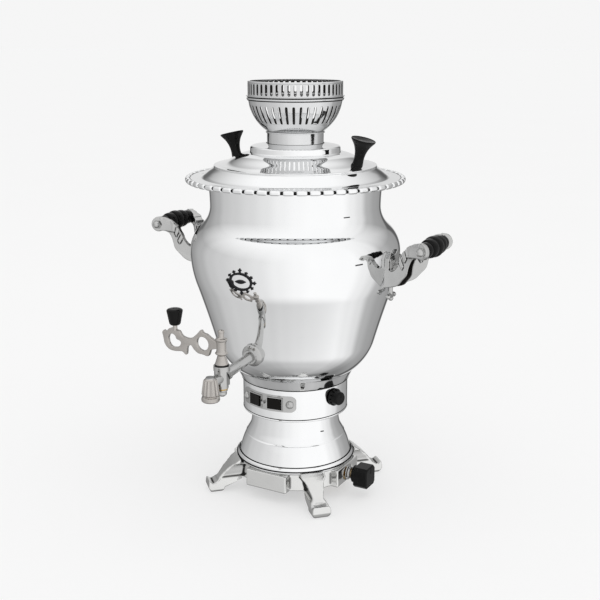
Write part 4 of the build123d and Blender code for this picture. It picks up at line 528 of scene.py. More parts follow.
def cast_piece(node, grain, softness, look="fittings", kept_within=None, added=(), dark=None):
    """A casting: a merged copy of a CAD node rebuilt in even cells of the given grain, with its
    edges softened by repeated averaging of neighbouring points. What lies beyond kept_within on the
    left and right is cut off, added meshes are cast with it, and faces whose middles dark marks get
    painted shade."""
    mesh = node_copy(node)
    with merged(mesh) as bm:
        for side in (-1, 1) if kept_within else ():
            cut = bmesh.ops.bisect_plane(bm, geom=bm.verts[:] + bm.edges[:] + bm.faces[:], clear_outer=True,
                                         plane_co=(side * kept_within * MM, 0, 0), plane_no=(side, 0, 0))
            bmesh.ops.holes_fill(bm, edges=[g for g in cut["geom_cut"] if isinstance(g, bmesh.types.BMEdge)])
        for other in added:
            bm.from_mesh(other)
    piece = in_scene(node, mesh)
    cells = piece.modifiers.new("Cells", "REMESH")
    cells.mode = "VOXEL"
    cells.voxel_size = grain * MM
    soften = piece.modifiers.new("Soften", "SMOOTH")
    soften.factor = 0.5
    soften.iterations = softness
    cast = as_made(piece)
    piece.modifiers.clear()
    piece.data = cast
    coloured(cast, look, *(["soot"] if dark else []))
    if dark:
        marks = dark(vectors(cast.polygons, "center") / MM)
        cast.polygons.foreach_set("material_index", marks.astype(np.int32))
    cast.shade_smooth()
    crease_marks(cast)
    settled(piece, node)


# ------------------------------------------------------------------ finishes

def fed(tree, node, inputs):
    """Links a node's inputs to the given sockets or sets them to the given values."""
    for socket, value in inputs.items():
        if isinstance(value, bpy.types.NodeSocket):
            tree.links.new(value, node.inputs[socket])
        else:
            node.inputs[socket].default_value = value
    return node


def linked(tree, kind, inputs, **settings):
    """A new node of the given kind with its settings made and its first inputs linked or set."""
    made = tree.nodes.new(kind)
    for name, value in settings.items():
        setattr(made, name, value)
    return fed(tree, made, inputs)


def node_tree(name):
    """A new material, its tree, its shader and the place of a point on the piece."""
    material = bpy.data.materials.new(name)
    material.use_nodes = True
    tree = material.node_tree
    tree.nodes.clear()
    shader = linked(tree, "ShaderNodeBsdfPrincipled", {})
    linked(tree, "ShaderNodeOutputMaterial", {"Surface": shader.outputs["BSDF"]})
    return material, tree, shader, linked(tree, "ShaderNodeTexCoord", {}).outputs["Object"]


def noise(tree, place, scale, detail=3.0, stretch=(1, 1, 1)):
    """Cloudy values from 0 to 1 at about scale cycles per metre, stretched along the axes."""
    where = linked(tree, "ShaderNodeMapping", {"Vector": place, "Scale": stretch}).outputs["Vector"]
    cloud = linked(tree, "ShaderNodeTexNoise", {"Vector": where, "Scale": scale, "Detail": detail})
    return cloud.outputs["Fac"]


def spread(tree, value, low, high, start=0.3, end=0.7):
    """Maps values from start to end, at first the middle of a noise, to the range from low to high."""
    return linked(tree, "ShaderNodeMapRange", {"Value": value, "From Min": start, "From Max": end,
                                               "To Min": low, "To Max": high}).outputs["Result"]


def tinted(tree, value, colour, darker):
    """The colour, and where the value is low a darker shade of it."""
    ramp = linked(tree, "ShaderNodeValToRGB", {"Fac": value})
    for element, at, share in zip(ramp.color_ramp.elements, (0.3, 0.7), (darker, 1)):
        element.position = at
        element.color = (*[c * share for c in colour], 1)
    return ramp.outputs["Color"]


def graded(tree, value, stops):
    """A grey ramp through stops of (position from 0 to 1, brightness)."""
    node = linked(tree, "ShaderNodeValToRGB", {"Fac": value})
    ramp = node.color_ramp
    ramp.interpolation = "EASE"
    ramp.elements[0].position, ramp.elements[1].position = stops[0][0], stops[-1][0]
    for at, _ in stops[1:-1]:
        ramp.elements.new(at)
    for element, (_, bright) in zip(ramp.elements, stops):
        element.color = (bright, bright, bright, 1)
    return node.outputs["Color"]


def blended(tree, share, one, other, way="MIX"):
    """One colour with a share of the other."""
    return linked(tree, "ShaderNodeMix", {0: share, 6: one, 7: other}, data_type="RGBA",
                  blend_type=way).outputs[2]


def worked(tree, operation, *values):
    """The result of a calculation with sockets and numbers."""
    return linked(tree, "ShaderNodeMath", dict(enumerate(values)), operation=operation).outputs[0]


def bumped(tree, value, shader, strength, distance):
    bump = linked(tree, "ShaderNodeBump", {"Height": value, "Strength": strength, "Distance": distance})
    fed(tree, shader, {"Normal": bump.outputs["Normal"]})


def metal(name, colour, rough, rough_more, stain_scale=14.0, darker=0.93, grain=0.0, grain_scale=900.0,
          stretch=(1, 1, 1), crease_shade=False):
    """A metal whose gloss varies in soft clouds and whose colour has faint stains; it can also paint
    shade into its hollow places, dark and dull."""
    material, tree, shader, place = node_tree(name)
    stains_and_shade = tinted(tree, noise(tree, place, stain_scale, 4.0), colour, darker)
    wiped = spread(tree, noise(tree, place, 60.0, 5.0, stretch), rough, rough_more)
    if crease_shade:
        crease = linked(tree, "ShaderNodeAttribute", {}, attribute_name="crease").outputs["Fac"]
        hollow = spread(tree, crease, 0.0, 1.0, 0.60, 0.80)
        # Painted shade: the hollow places are blended to near black.
        stains_and_shade = blended(tree, hollow, stains_and_shade, (0.03, 0.029, 0.028, 1))
        wiped = linked(tree, "ShaderNodeMix", {0: hollow, 2: wiped, 3: 0.55}).outputs[0]
    fed(tree, shader, {"Metallic": 1.0, "Base Color": stains_and_shade, "Roughness": wiped})
    if grain:
        bumped(tree, noise(tree, place, grain_scale, 2.0, stretch), shader, grain, 0.0004)
    return material


def plastic(name, colour, rough, rough_more, grain=0.0, gloss=0.35):
    """A moulded plastic with a faint grain and finger-worn gloss."""
    material, tree, shader, place = node_tree(name)
    wear = noise(tree, place, 70.0, 4.0)
    fed(tree, shader, {"Base Color": tinted(tree, wear, colour, 0.75), "Specular IOR Level": gloss,
                       "Roughness": spread(tree, wear, rough, rough_more)})
    if grain:
        bumped(tree, noise(tree, place, 1500.0, 3.0), shader, grain, 0.0003)
    return material


def make_finishes():
    steel, casting, nickel = finish_value("steel"), finish_value("casting"), finish_value("nickel")
    black, polish, fittings = finish_value("black"), finish_value("polish"), finish_value("fittings")
    return {
        "steel": metal("Polished steel", steel, 0.6 * polish, 1.8 * polish, darker=0.97),
        # The crown's steel is the polished steel darkened: painted shade for its darker look.
        "crown": metal("Handled steel", [0.82 * c for c in steel], 0.05, 0.14, 30.0, 0.9),
        # The casting, the nickel and the fittings paint shade into their hollows.
        "casting": metal("Plated casting", casting, 0.07, 0.16, 30.0, 0.9, 0.05, 260.0, crease_shade=True),
        "nickel": metal("Warm nickel", nickel, 0.10, 0.24, 60.0, 0.86, 0.12, 700.0, crease_shade=True),
        "fittings": metal("Plated fittings", fittings, 0.05, 0.12, 60.0, 0.9, 0.03, 500.0, crease_shade=True),
        "brushed": metal("Brushed steel", (0.60, 0.60, 0.60), 0.22, 0.38, 40.0, 0.85, 0.15, 900.0,
                         (1, 1, 0.05)),
        "brass": metal("Brass", finish_value("brass"), 0.18, 0.36, 50.0, 0.8, 0.08, 600.0),
        "iron": metal("Burner iron", (0.09, 0.085, 0.08), 0.5, 0.75, 90.0, 0.6, 0.5, 900.0),
        "black": plastic("Gloss black", black, 0.1, 0.2, gloss=0.12),
        # Near black: painted shade inside the crown and its slots and in the handles' channels.
        "soot": plastic("Soot", (0.02, 0.018, 0.016), 0.5, 0.7, gloss=0.2),
        # Near black: painted shade in the seams between parts, along creases and between the gallery's beads.
        "seam": plastic("Dark seam", (0.012, 0.012, 0.012), 0.5, 0.7, gloss=0.1),
        "matte": plastic("Matte black", (0.018, 0.018, 0.018), 0.42, 0.6, 0.2),
        "rocker": plastic("Rocker plastic", (0.006, 0.005, 0.004), 0.16, 0.3, 0.05, gloss=0.1),
        "rubber": plastic("Rubber", (0.02, 0.02, 0.02), 0.7, 0.85, 0.3),
        "enamel": plastic("Dark enamel", finish_value("enamel"), 0.12, 0.25, gloss=0.15),
    }


FINISH = {}


def finish(name):
    """A finish by its name; all of them are made when the first is asked for."""
    if not FINISH:
        FINISH.update(make_finishes())
    return FINISH[name]


# ------------------------------------------------------------------ operators

class SamovarOperator(bpy.types.Operator):
    """Base of the samovar's operators."""

    bl_options = {"REGISTER", "UNDO"}


# Points of the urn's flank, from its fold outwards and up, and the radius of its shoulder
FLANK_TOP, FLANK_FOOT = (42.2, 97.4), (21.9, 32.4)
SHOULDER_RADIUS = 37.5


def urn_outline():
    """Radius and height of the urn's outer wall: arcs that meet tangentially, from its belly down to
    the fold and up over the shoulder and the neck to the mouth. With the fall f in radius and the rise
    r from belly to neck, the shoulder's arc ends where it has turned by asin(2 f r / (f^2 + r^2))."""
    belly, fold, neck, mouth = (np.array([size(name + "_radius"), size(name + "_height")])
                                for name in ("belly", "fold", "neck", "mouth"))
    fall, rise = belly[0] - neck[0], neck[1] - belly[1]
    turn = math.asin(2 * fall * rise / (fall**2 + rise**2))
    bend = belly + (-SHOULDER_RADIUS * (1 - math.cos(turn)), SHOULDER_RADIUS * math.sin(turn))
    down = arcs_through(belly, (0, -1), (fold + FLANK_TOP, 24), (fold + FLANK_FOOT, 24), (fold, 24))
    up = arcs_through(belly, (0, 1), (bend, 28), (neck, 24), (mouth, 10))
    return np.vstack([down[::-1], up[1:]])


class SAMOVAR_OT_urn(SamovarOperator):
    """The urn: the outline of its wall turned about the axis, with a rim below its fold and an inner skin."""

    bl_idname = "samovar.urn"
    bl_label = "Urn"

    def execute(self, context):
        outer = urn_outline()
        low, radius = levels("urn_shell")[0], 61.5
        rim = eased([(radius - 1.0, low), (radius, low + 0.3), outer[0], outer[4]], 0.8, 6)
        whole = np.vstack([rim[rim[:, 1] < outer[3, 1]], outer[4:]])
        inner = offset_line(whole, size("wall"))[::-1]
        piece_with_seam_shade("urn", np.vstack([split_long(whole, 4.0), inner]), (radius - 0.6, low - 0.1, 0.7),
                     node="urn_shell")
        return {"FINISHED"}


def skirt_line():
    """The bell's outer line: a slightly hollow cone with a pressed groove and a straight neck."""
    low, high = levels("base_ring")[1], levels("skirt")[1]
    foot, neck = 64.2, 49.6
    tall, span = high - low, foot - neck
    lower = smooth_line([(foot, low), (neck + 0.75 * span, low + 0.23 * tall),
                         (neck + 0.49 * span, low + 0.41 * tall)], 24)
    upper = smooth_line([(neck + 0.42 * span, low + 0.41 * tall + 1.6),
                         (neck + 0.11 * span, low + 0.63 * tall), (neck, high - 6), (neck, high)], 36)
    return np.vstack([lower, lower[-1] + (-0.75, 0.45), upper[0] + (-0.35, -0.3), upper])


class SAMOVAR_OT_base(SamovarOperator):
    """The bell-shaped skirt and the rolled ring below it, both turned about the axis."""

    bl_idname = "samovar.base"
    bl_label = "Skirt and base ring"

    def execute(self, context):
        line = skirt_line()
        piece_with_seam_shade("skirt", np.vstack([line, (line - (size("wall"), 0))[::-1]]),
                     (line[0, 0] + 0.4, line[0, 1] + 0.2, 0.35))
        low, high = levels("base_ring")
        radius, bore = far_edge("base_ring"), 58.0
        face = smooth_line([(radius - 1.7, low + 0.1), (radius - 0.25, low + 1.7), (radius, low + 3.4),
                            (radius - 0.35, low + 5.4), (radius - 1.6, low + 7.3), (radius - 2.6, high)], 24)
        line = np.vstack([[(bore, low), (radius - 2.2, low)], face, [(65.3, high), (bore, high)]])
        piece_with_seam_shade("base_ring", split_long(line, 3.0), (radius + 0.1, levels("foot_casting")[1], 0.8))
        return {"FINISHED"}


class SAMOVAR_OT_band(SamovarOperator):
    """The control band: a drum with a rolled lower edge, turned about the axis."""

    bl_idname = "samovar.band"
    bl_label = "Control band"

    def execute(self, context):
        low, high = levels("control_band")
        radius, hole = 59.8, 37.2
        edge = np.array([(-2.4, 0), (-0.7, 0.25), (0.1, 1.3), (-0.45, 2.4), (-0.75, 2.75)]) + (radius, low)
        roll = smooth_line(edge, 16)
        face = eased([edge[-1], (radius, low + 3.5), (radius, high), (radius - 1.2, high)], 0.35)
        inside = [(radius - 1.2, low + 3.8), (radius - 3.2, low + 1.2), (hole, low + 1.2), (hole, low)]
        piece_with_seam_shade("control_band", split_long(np.vstack([roll, face[1:], inside]), 4.0),
                     (radius - 0.3, low + 3.0, 0.4))
        return {"FINISHED"}


class SAMOVAR_OT_gallery(SamovarOperator):
    """The gallery: a spun dish on a neck tube, and long beads on a wire around its edge. A bead's
    radius at a share s of its half length is its half height times (1 - |s|^5)^(1/5)."""

    bl_idname = "samovar.gallery"
    bl_label = "Gallery and beads"

    def execute(self, context):
        seat, edge = levels("gallery_dish")[1], far_edge("gallery_dish")
        mouth = size("mouth_height")
        top = mouth + 5.6
        cove = smooth_line([(88.6, seat - 0.9), (92.4, seat - 3.6), (97.0, seat - 7.2), (101.2, top + 1.7),
                            (105.5, top + 0.25), (edge - 0.7, top + 0.05), (edge, top - 0.6)], 48)
        under = smooth_line([(edge - 5, mouth + 2.9), (103.6, top - 0.2), (95.6, seat - 9.0),
                             (88.6, seat - 5.6)], 24)
        line = np.vstack([
            cove, eased([(edge, top - 0.6), (edge, mouth + 2.0), (edge - 2, mouth + 2.0)], 0.4)[1:], under,
            [(87.0, seat - 3.4), (87.0, mouth + 1.6), (97.0, mouth + 1.6), (97.0, mouth), (93.0, mouth),
             (92.4, mouth - 8), (90.8, mouth - 8), (90.8, mouth - 1.6), (85.4, mouth - 1.6)],
            eased([(85.4, mouth), (85.4, seat), (88.6, seat), (88.6, seat - 0.9)], 0.8)[1:-1]])
        make_piece("gallery_dish", turned(line))

        level, circle = mouth + 3.8, 116.6
        half_long, half_tall = 5.4, 2.9
        s = np.sin(np.linspace(-np.pi / 2, np.pi / 2, 17))
        fat = half_tall * np.clip(1 - np.abs(s) ** 5, 0, 1) ** 0.2
        bead = turned(np.stack([fat, half_long * s], 1), 16, closed=False)
        beads = around(placed(bead, (0, -circle, level), 90, "Y"), context.scene.samovar_sizes.bead_count)
        wire = turned(eased([(edge, level - 1.6), (circle + 0.8, level - 1.6), (circle + 0.8, level + 1.6),
                             (edge, level + 1.6)], 0.5, closed=True))
        # The wire between the beads is near black: painted shade in the gaps.
        surface, marks = marked((wire, True), (beads, False))
        make_piece("gallery_beading", surface, sharp=60, marks=marks)
        return {"FINISHED"}


def lid_line():
    """The lid's upper line from its middle hole over the step and the dome to the rim."""
    seat, top = levels("gallery_dish")[1], levels("lid_shell")[1]
    foot = top - 6.5
    step, rim = 48.8, 88.4
    run, drop = rim - step, foot - (seat + 1.4)
    dome = smooth_line([(step + 0.12 * run, foot - 0.02 * drop), (step + 0.36 * run, foot - 0.25 * drop),
                        (step + 0.65 * run, foot - 0.72 * drop), (rim - 4.2, seat + 1.5)], 44)
    head = eased([(24.0, top), (31.2, top), (31.4, top + 3.4), (step - 1.4, top + 0.5), (step, top - 0.6),
                  (step + 0.25, foot + 0.8), (step + 1.4, foot), dome[0], dome[1]], 0.6, 5)
    return np.vstack([head[:-1], dome[1:]])


class SAMOVAR_OT_lid(SamovarOperator):
    """The lid's shell, turned about the axis, and two trumpet knobs that lean outwards on its dome."""

    bl_idname = "samovar.lid"
    bl_label = "Lid and knobs"

    def execute(self, context):
        line = lid_line()
        seat, top = levels("gallery_dish")[1], levels("lid_shell")[1]
        rim = eased([(84.2, seat + 1.5), (88.4, seat + 1.4), (88.4, seat), (85.0, seat), (85.0, seat - 9.0),
                     (83.8, seat - 9.0), (83.8, seat - 0.2)], 0.45, 5)
        under = (line - (0, 1.4))[::-1]
        piece_with_seam_shade("lid_shell", np.vstack([split_long(line, 3.0), rim[1:], under]),
                     (31.0, top + 3.2, 0.35), (48.9, top - 6.0, 0.3))

        long = 27.5
        neck = smooth_line([(6.0, -4.0), (5.4, 0.12 * long), (5.3, 0.3 * long), (6.2, 0.5 * long),
                            (8.6, 0.72 * long), (12.6, long - 2.0)], 26)
        mouth = eased([(12.6, long - 2.0), (13.0, long - 1.2), (13.0, long - 0.2), (12.4, long),
                       (11.6, long - 0.8), (5, long - 2.1), (0, long - 2.2)], 0.5, 5)
        trumpet = turned(np.vstack([[(0, -4.0)], neck, mouth[1:]]), SMALL_TURNS, closed=False)
        circle, lean = 74.5, 14.0
        foot = np.interp(circle, line[:, 0], line[:, 1])
        knobs = [placed(trumpet, (side * circle, 0, foot), side * lean, "Y") for side in (-1, 1)]
        make_piece("lid_knobs", joined(knobs), "black", "black_grip", sharp=40)
        return {"FINISHED"}


class SAMOVAR_OT_crown(SamovarOperator):
    """The crown: a pierced bowl on a straight collar, a grooved hoop and a pierced band with a folded rim."""

    bl_idname = "samovar.crown"
    bl_label = "Crown"

    def execute(self, context):
        sizes, sheet = context.scene.samovar_sizes, size("wall")
        low, high = levels("crown_bowl")
        foot = low + 15.8
        collar, bowl = 30.6, 50.6
        span, tall = bowl - collar, high - foot
        arc = arc_through((collar, foot), (collar + 0.75 * span, foot + 0.5 * tall), (bowl, high), 60)
        upper = arc[arc[:, 1] >= foot + 0.22 * tall]
        lower = arc[arc[:, 1] <= upper[0, 1] + TINY]
        outside = split_long(np.vstack([[(collar, low), (collar, foot - 1)], lower]), 2.0)
        inside = np.vstack([[(collar - sheet, low), (collar - sheet, foot)], offset_line(lower, sheet)[1:]])
        solid = turned(np.vstack([outside, inside[::-1]]))
        # The inner skin of the bowl's lower part gets painted shade, as do the pierced part's inner skin and
        # slot walls.
        behind = np.repeat(np.arange(len(outside) + len(inside)) >= len(outside), TURNS)
        lip = turned(ring_line(collar + 0.6, foot - 0.8, 0.8))
        pierced, dark = pierced_wall(upper, sizes.bowl_slots, 1.35, foot + 0.28 * tall, high - 6.5, sheet, 8)
        surface, marks = marked((solid, behind), (lip, False), (pierced, dark))
        make_piece("crown_bowl", surface, "crown", marks=marks, marked_look="soot")

        foot, top = high - 1.6, levels("crown_beading")[1]
        line = [(49.4, foot), (50.9, foot), (51.0, foot + 0.5), (52.2, foot + 1.1), (52.2, foot + 2.5),
                (51.2, foot + 3.0), (51.0, foot + 3.6), (52.7, top - 0.9), (52.9, top - 0.2), (51.0, top),
                (49.4, top)]
        piece_with_seam_shade("crown_beading", eased(line, 0.3, 4, closed=True), (51.1, foot + 0.2, 0.4),
                     (51.1, foot + 3.4, 0.35), look="crown", sharp=50)

        foot, top = top, levels("crown_band")[1]
        wall_top, level = top - 2.0, (foot + top) / 2 - 0.8
        radius = 51.0
        wall = np.stack([np.full(24, radius), np.linspace(foot, wall_top, 24)], 1)
        band, dark = pierced_wall(wall, sizes.band_slots, 1.5, level - 5.75, level + 5.75, sheet, 6)
        rim = turned(eased([(radius, wall_top), (radius, top), (48.4, top), (48.4, top - 0.8),
                            (49.8, top - 1.0), (49.8, wall_top)], 1.3, 6, closed=True))
        # The band's inner skin and its slots' walls get painted shade.
        surface, marks = marked((band, dark), (rim, False))
        make_piece("crown_band", surface, "crown", marks=marks, marked_look="soot")
        return {"FINISHED"}


# The arms of the handles, in millimetres: where the one toward +X and +Y starts, its length to the
# grip's line, its boss's radius there, how far it spreads, half its thickness at the boss and half a
# flange's thickness
ARM_START = (115.6, 9.0, 295.5)
ARM_LONG, ARM_BOSS = 51.7, 8.6
ARM_SPREAD = math.radians(25.4)
ARM_HALF, FLANGE_HALF = 2.5, 0.8
# Upper and lower edge of an arm: share of its length, height over the grip's line
ARM_TOP = [(0.0, -23.0), (0.2, -27.0), (0.34, -23.4), (0.43, -17.6), (0.54, -5.2), (0.72, 4.4),
           (0.93, 8.2), (1.0, 8.6)]
ARM_UNDER = [(0.0, -47.0), (0.29, -42.9), (0.43, -39.6), (0.54, -33.8), (0.65, -27.2), (0.7, -17.6),
             (0.775, -10.2), (0.9, -7.5), (1.0, -8.6)]
WEB_SHARE = 0.38  # the web's share of the height between both edges, from above
# An arm is full up to the first share of its length, slim from the second on, and this much thicker
ARM_FULL, ARM_SLIM, ARM_SWELL = 0.56, 0.86, 1.1
# The painted shade in the channel: its start along the arm, its reach above the web's edge, its
# distance from the flanges' outer sides
CHANNEL_SHADE_START, CHANNEL_SHADE_ABOVE, CHANNEL_SHADE_INSET = 6.0, 0.7, 1.25


def arm_half(x):
    """Half the thickness of an arm at a distance along it: full in its middle, slim at the grip."""
    share = np.clip((ARM_SLIM - x / ARM_LONG) / (ARM_SLIM - ARM_FULL), 0, 1)
    return ARM_HALF * (1 + ARM_SWELL * share * share * (3 - 2 * share))


def arm_place(along, aside, height, side, hand):
    """Where a point of an arm lies: side is +1 for the handle on +X, hand the side of its grip."""
    c, s = math.cos(ARM_SPREAD), math.sin(ARM_SPREAD)
    x = ARM_START[0] + along * c - aside * s
    y = ARM_START[1] + along * s + aside * c
    return np.stack([side * x, hand * y, ARM_START[2] + height], 1)


def arm_lines():
    """The upper edge of an arm, its lower edge and the lower edge of its web."""
    top, under = (smooth_line([(ARM_LONG * share, height) for share, height in edge], 40)
                  for edge in (ARM_TOP, ARM_UNDER))
    return top, under, (1 - WEB_SHARE) * top + WEB_SHARE * under


def arm_meshes():
    """Each arm is a channel: a web below its upper edge between two flanges, a round nose and ribs."""
    top, under, web_under = arm_lines()
    nose = oval(ARM_LONG, 0, ARM_BOSS, ARM_BOSS, np.linspace(-np.pi / 2, np.pi / 2, 16)[1:-1])
    ribs = []
    for i in range(19, 39, 4):
        upper, lower = top[[i - 1, i + 1]], 0.5 * (top[[i + 1, i - 1]] + under[[i + 1, i - 1]])
        away = upper - lower
        ribs.append(np.vstack([upper + 0.25 * away / np.linalg.norm(away, axis=1)[:, None], lower]))
    meshes = []
    for side, hand in ((-1, -1), (-1, 1), (1, -1), (1, 1)):
        def filling(p):
            return arm_place(p[:, 0], p[:, 2] / ARM_HALF * arm_half(p[:, 0]), p[:, 1], side, hand)

        web = np.vstack([web_under, nose, top[::-1]])
        meshes.append(plate_mesh("web", [web], ARM_HALF - 0.2, 0.5, filling))
        for way in (-1, 1):
            meshes.append(plate_mesh(
                "flange", [np.vstack([under, nose, top[::-1]])], FLANGE_HALF, 0.3, lambda p: arm_place(
                    p[:, 0], way * (arm_half(p[:, 0]) - FLANGE_HALF) + p[:, 2], p[:, 1], side, hand)))
        meshes += [plate_mesh("rib", [rib], ARM_HALF + 0.5, 0.3, filling) for rib in ribs]
    return meshes


def in_channel(spots):
    """Marks the points that lie in the hollow between the flanges of an arm, which get painted shade."""
    web_under = arm_lines()[2]
    c, s = math.cos(ARM_SPREAD), math.sin(ARM_SPREAD)
    x, y = np.abs(spots[:, 0]) - ARM_START[0], np.abs(spots[:, 1]) - ARM_START[1]
    along, aside = x * c + y * s, y * c - x * s
    height = spots[:, 2] - ARM_START[2]
    below = height < np.interp(along, web_under[:, 0], web_under[:, 1]) + CHANNEL_SHADE_ABOVE
    inside = np.abs(aside) < arm_half(along) - CHANNEL_SHADE_INSET
    return below & inside & (along > CHANNEL_SHADE_START) & (along < ARM_SLIM * ARM_LONG)


class SAMOVAR_OT_handles(SamovarOperator):
    """Cast brackets, turned grips with five rings each, acorn nuts and the finials below the shields."""

    bl_idname = "samovar.handles"
    bl_label = "Handles"

    def execute(self, context):
        cast_piece("handle_brackets", 0.6, 2, kept_within=121.5, added=arm_meshes(), dark=in_channel)
        reach, level = 162.2, levels("handle_rods")[0] + 2.5
        half, rings = 27.2, 5
        y = np.linspace(-half, half, 20 * rings + 1)
        share = (y + half) / (2 * half) * rings
        ring = np.clip(share.astype(int), 0, rings - 1)
        swell = 11.2 - 3.0 * (np.abs(ring - 2) / 2) ** 1.5
        r = swell - 2.6 + 2.6 * np.sqrt(np.clip(1 - (2 * (share - ring) - 1) ** 2, 0, 1)) ** 0.8
        line = np.vstack([[(0, -half), (5.6, -half)], np.stack([r, y], 1), [(5.6, half), (0, half)]])
        grip = turned(line, SMALL_TURNS, closed=False)
        grips = [placed(grip, (side * reach, 0, level), 90) for side in (-1, 1)]
        make_piece("handle_grips", joined(grips), "black", "black_grip", sharp=50)
        copied_piece("handle_nuts", 0.3)
        cast_piece("handle_finials", 0.22, 3)
        copied_piece("handle_rods")
        return {"FINISHED"}


TAP_Y, NOZZLE_Y, LEVER_X = -152.0, -173.0, -56.0  # the key's and the nozzle's axis, the knob's place


# Outline of the lever and of its kidney-shaped window, distance across and height above the floor
LEVER_EDGE = [(-55.8, 217.6), (-53.7, 215.3), (-50.1, 214.5), (-48.8, 212.5), (-46.7, 209.9), (-43.4, 208.7),
              (-39.0, 208.4), (-34.6, 209.5), (-30.1, 212.8), (-26.2, 216.7), (-23.4, 219.2), (-20.3, 216.3),
              (-17.0, 215.7), (-11.8, 212.7), (-5.4, 209.5), (-2.5, 209.0), (-2.5, 202.5), (-5.6, 202.0),
              (-11.5, 200.1), (-13.3, 196.5), (-15.5, 192.9), (-22.0, 193.8), (-27.4, 194.3), (-32.2, 197.4),
              (-35.4, 201.2), (-38.2, 200.8), (-40.7, 198.0), (-41.2, 193.2), (-42.4, 190.3), (-46.2, 192.9),
              (-49.5, 193.1), (-55.1, 192.4), (-61.8, 192.9), (-66.2, 195.5), (-68.9, 199.5), (-69.9, 204.2),
              (-70.8, 207.9), (-71.3, 210.2), (-69.8, 212.8), (-67.3, 212.0), (-65.0, 213.3), (-62.1, 215.8)]
LEVER_WINDOW = [(-64.2, 205.0), (-62.9, 208.0), (-59.5, 210.5), (-55.6, 209.1), (-53.5, 205.6),
                (-49.1, 203.9), (-48.4, 201.1), (-51.3, 197.8), (-56.1, 196.4), (-60.6, 196.9),
                (-63.2, 200.3)]


class SAMOVAR_OT_tap(SamovarOperator):
    """The tap's body, flange, fluted nozzle and key: turned hub and stem, cast block and a pierced lever."""

    bl_idname = "samovar.tap"
    bl_label = "Tap"

    def execute(self, context):
        copied_piece("tap_body", 0.35)
        copied_piece("tap_flange", 0.4)
        copied_piece("tap_retainer", 0.25)
        foot = levels("tap_nozzle")[0]
        bell = [(0, 25), (3.5, 25), (6.6, 22.5), (7.2, 21.5), (9.2, 7.5), (7.6, 6.6), (7.4, 5.6), (9.0, 4.6),
                (9.4, 3), (9.2, 1), (8.2, 0), (4.8, 0), (4.8, 6), (3.2, 6), (3.2, 16), (0, 16)]
        bell = split_long(eased(np.array(bell) + (0, foot), 0.4, 4), 1.0)
        bell = turned(bell, 168, closed=False)
        bell = fluted(bell, context.scene.samovar_sizes.nozzle_flutes, 0.9, foot + 7.2, foot + 22.6)
        make_piece("tap_nozzle", placed(bell, (0, NOZZLE_Y, 0)), "nickel", "nickel", sharp=40)
        stem = [(0, 171.5), (5.0, 171.5), (5.6, 185.0), (7.0, 187.0), (6.0, 190.0), (4.4, 195.0),
                (4.1, 196.0), (5.4, 197.0), (6.5, 198.0), (6.4, 198.8), (5.4, 200.0), (4.9, 203.0),
                (4.9, 208.0), (5.4, 211.0), (6.2, 212.0), (6.2, 212.6), (5.9, 213.4), (4.2, 214.0),
                (2.9, 215.0), (3.0, 219.0), (3.4, 220.2), (3.4, 221.5), (1.5, 222.5), (0, 223.0)]
        stem = eased(np.array(stem) + (0, levels("tap_seal")[1] - 186.9), 0.5)
        plug = placed(turned(stem, SMALL_TURNS, closed=False), (0, TAP_Y, 0))
        stub = turned([(0, 214.0), (2.6, 214.0), (2.3, 217.0), (2.3, 221.5), (0, 221.5)], 32, closed=False)
        make_piece("tap_plug", joined([plug, placed(stub, (LEVER_X, TAP_Y, 0))]), "nickel", "nickel",
                   sharp=40)
        outlines = [smooth_line(line + line[:1], 6 * len(line))[:-1] for line in (LEVER_EDGE, LEVER_WINDOW)]
        outlines.append(oval(-21.7, 205.1, 7.2, 7.2, circle_angles(24)))
        plate_piece("tap_lever", outlines, 2.0, 0.6,
                    lambda p: np.stack([p[:, 0], TAP_Y - p[:, 2], p[:, 1]], 1), "nickel")
        low, high = levels("tap_lever_knob")
        knob = eased([(0, low), (4.6, low), (5.8, low + 1.4), (8.4, high - 2.6), (8.0, high - 1.4),
                      (6.0, high - 0.4), (3.0, high - 0.05), (0, high)], 0.9, 5)
        knob = placed(turned(knob, SMALL_TURNS, closed=False), (LEVER_X, TAP_Y, 0))
        make_piece("tap_lever_knob", knob, "black", "black_grip", sharp=40)
        return {"FINISHED"}


class SAMOVAR_OT_controls(SamovarOperator):
    """The switch panel with its frames, rockers and screws, and the thermostat's ribbed knob."""

    bl_idname = "samovar.controls"
    bl_label = "Controls"

    def execute(self, context):
        copied_piece("switch_panel", 0.3)
        copied_piece("switch_frames", 0.3)
        copied_piece("power_rocker", 0.4, "rocker")
        copied_piece("heat_rocker", 0.4, "rocker")
        copied_piece("panel_screws")
        copied_piece("thermostat_knob", 0.35, "black")
        copied_piece("power_inlet", 0.4, "matte")
        return {"FINISHED"}


class SAMOVAR_OT_foot(SamovarOperator):
    """The cast foot with its four legs, the gas knob and the valve's collar."""

    bl_idname = "samovar.foot"
    bl_label = "Foot and gas controls"

    def execute(self, context):
        cast_piece("foot_casting", 1.0, 5, look="casting")
        copied_piece("gas_knob", 0.8, "black", segments=3)
        copied_piece("valve_bezel", 0.3)
        copied_piece("gas_inlet", 0.25, "brass")
        return {"FINISHED"}


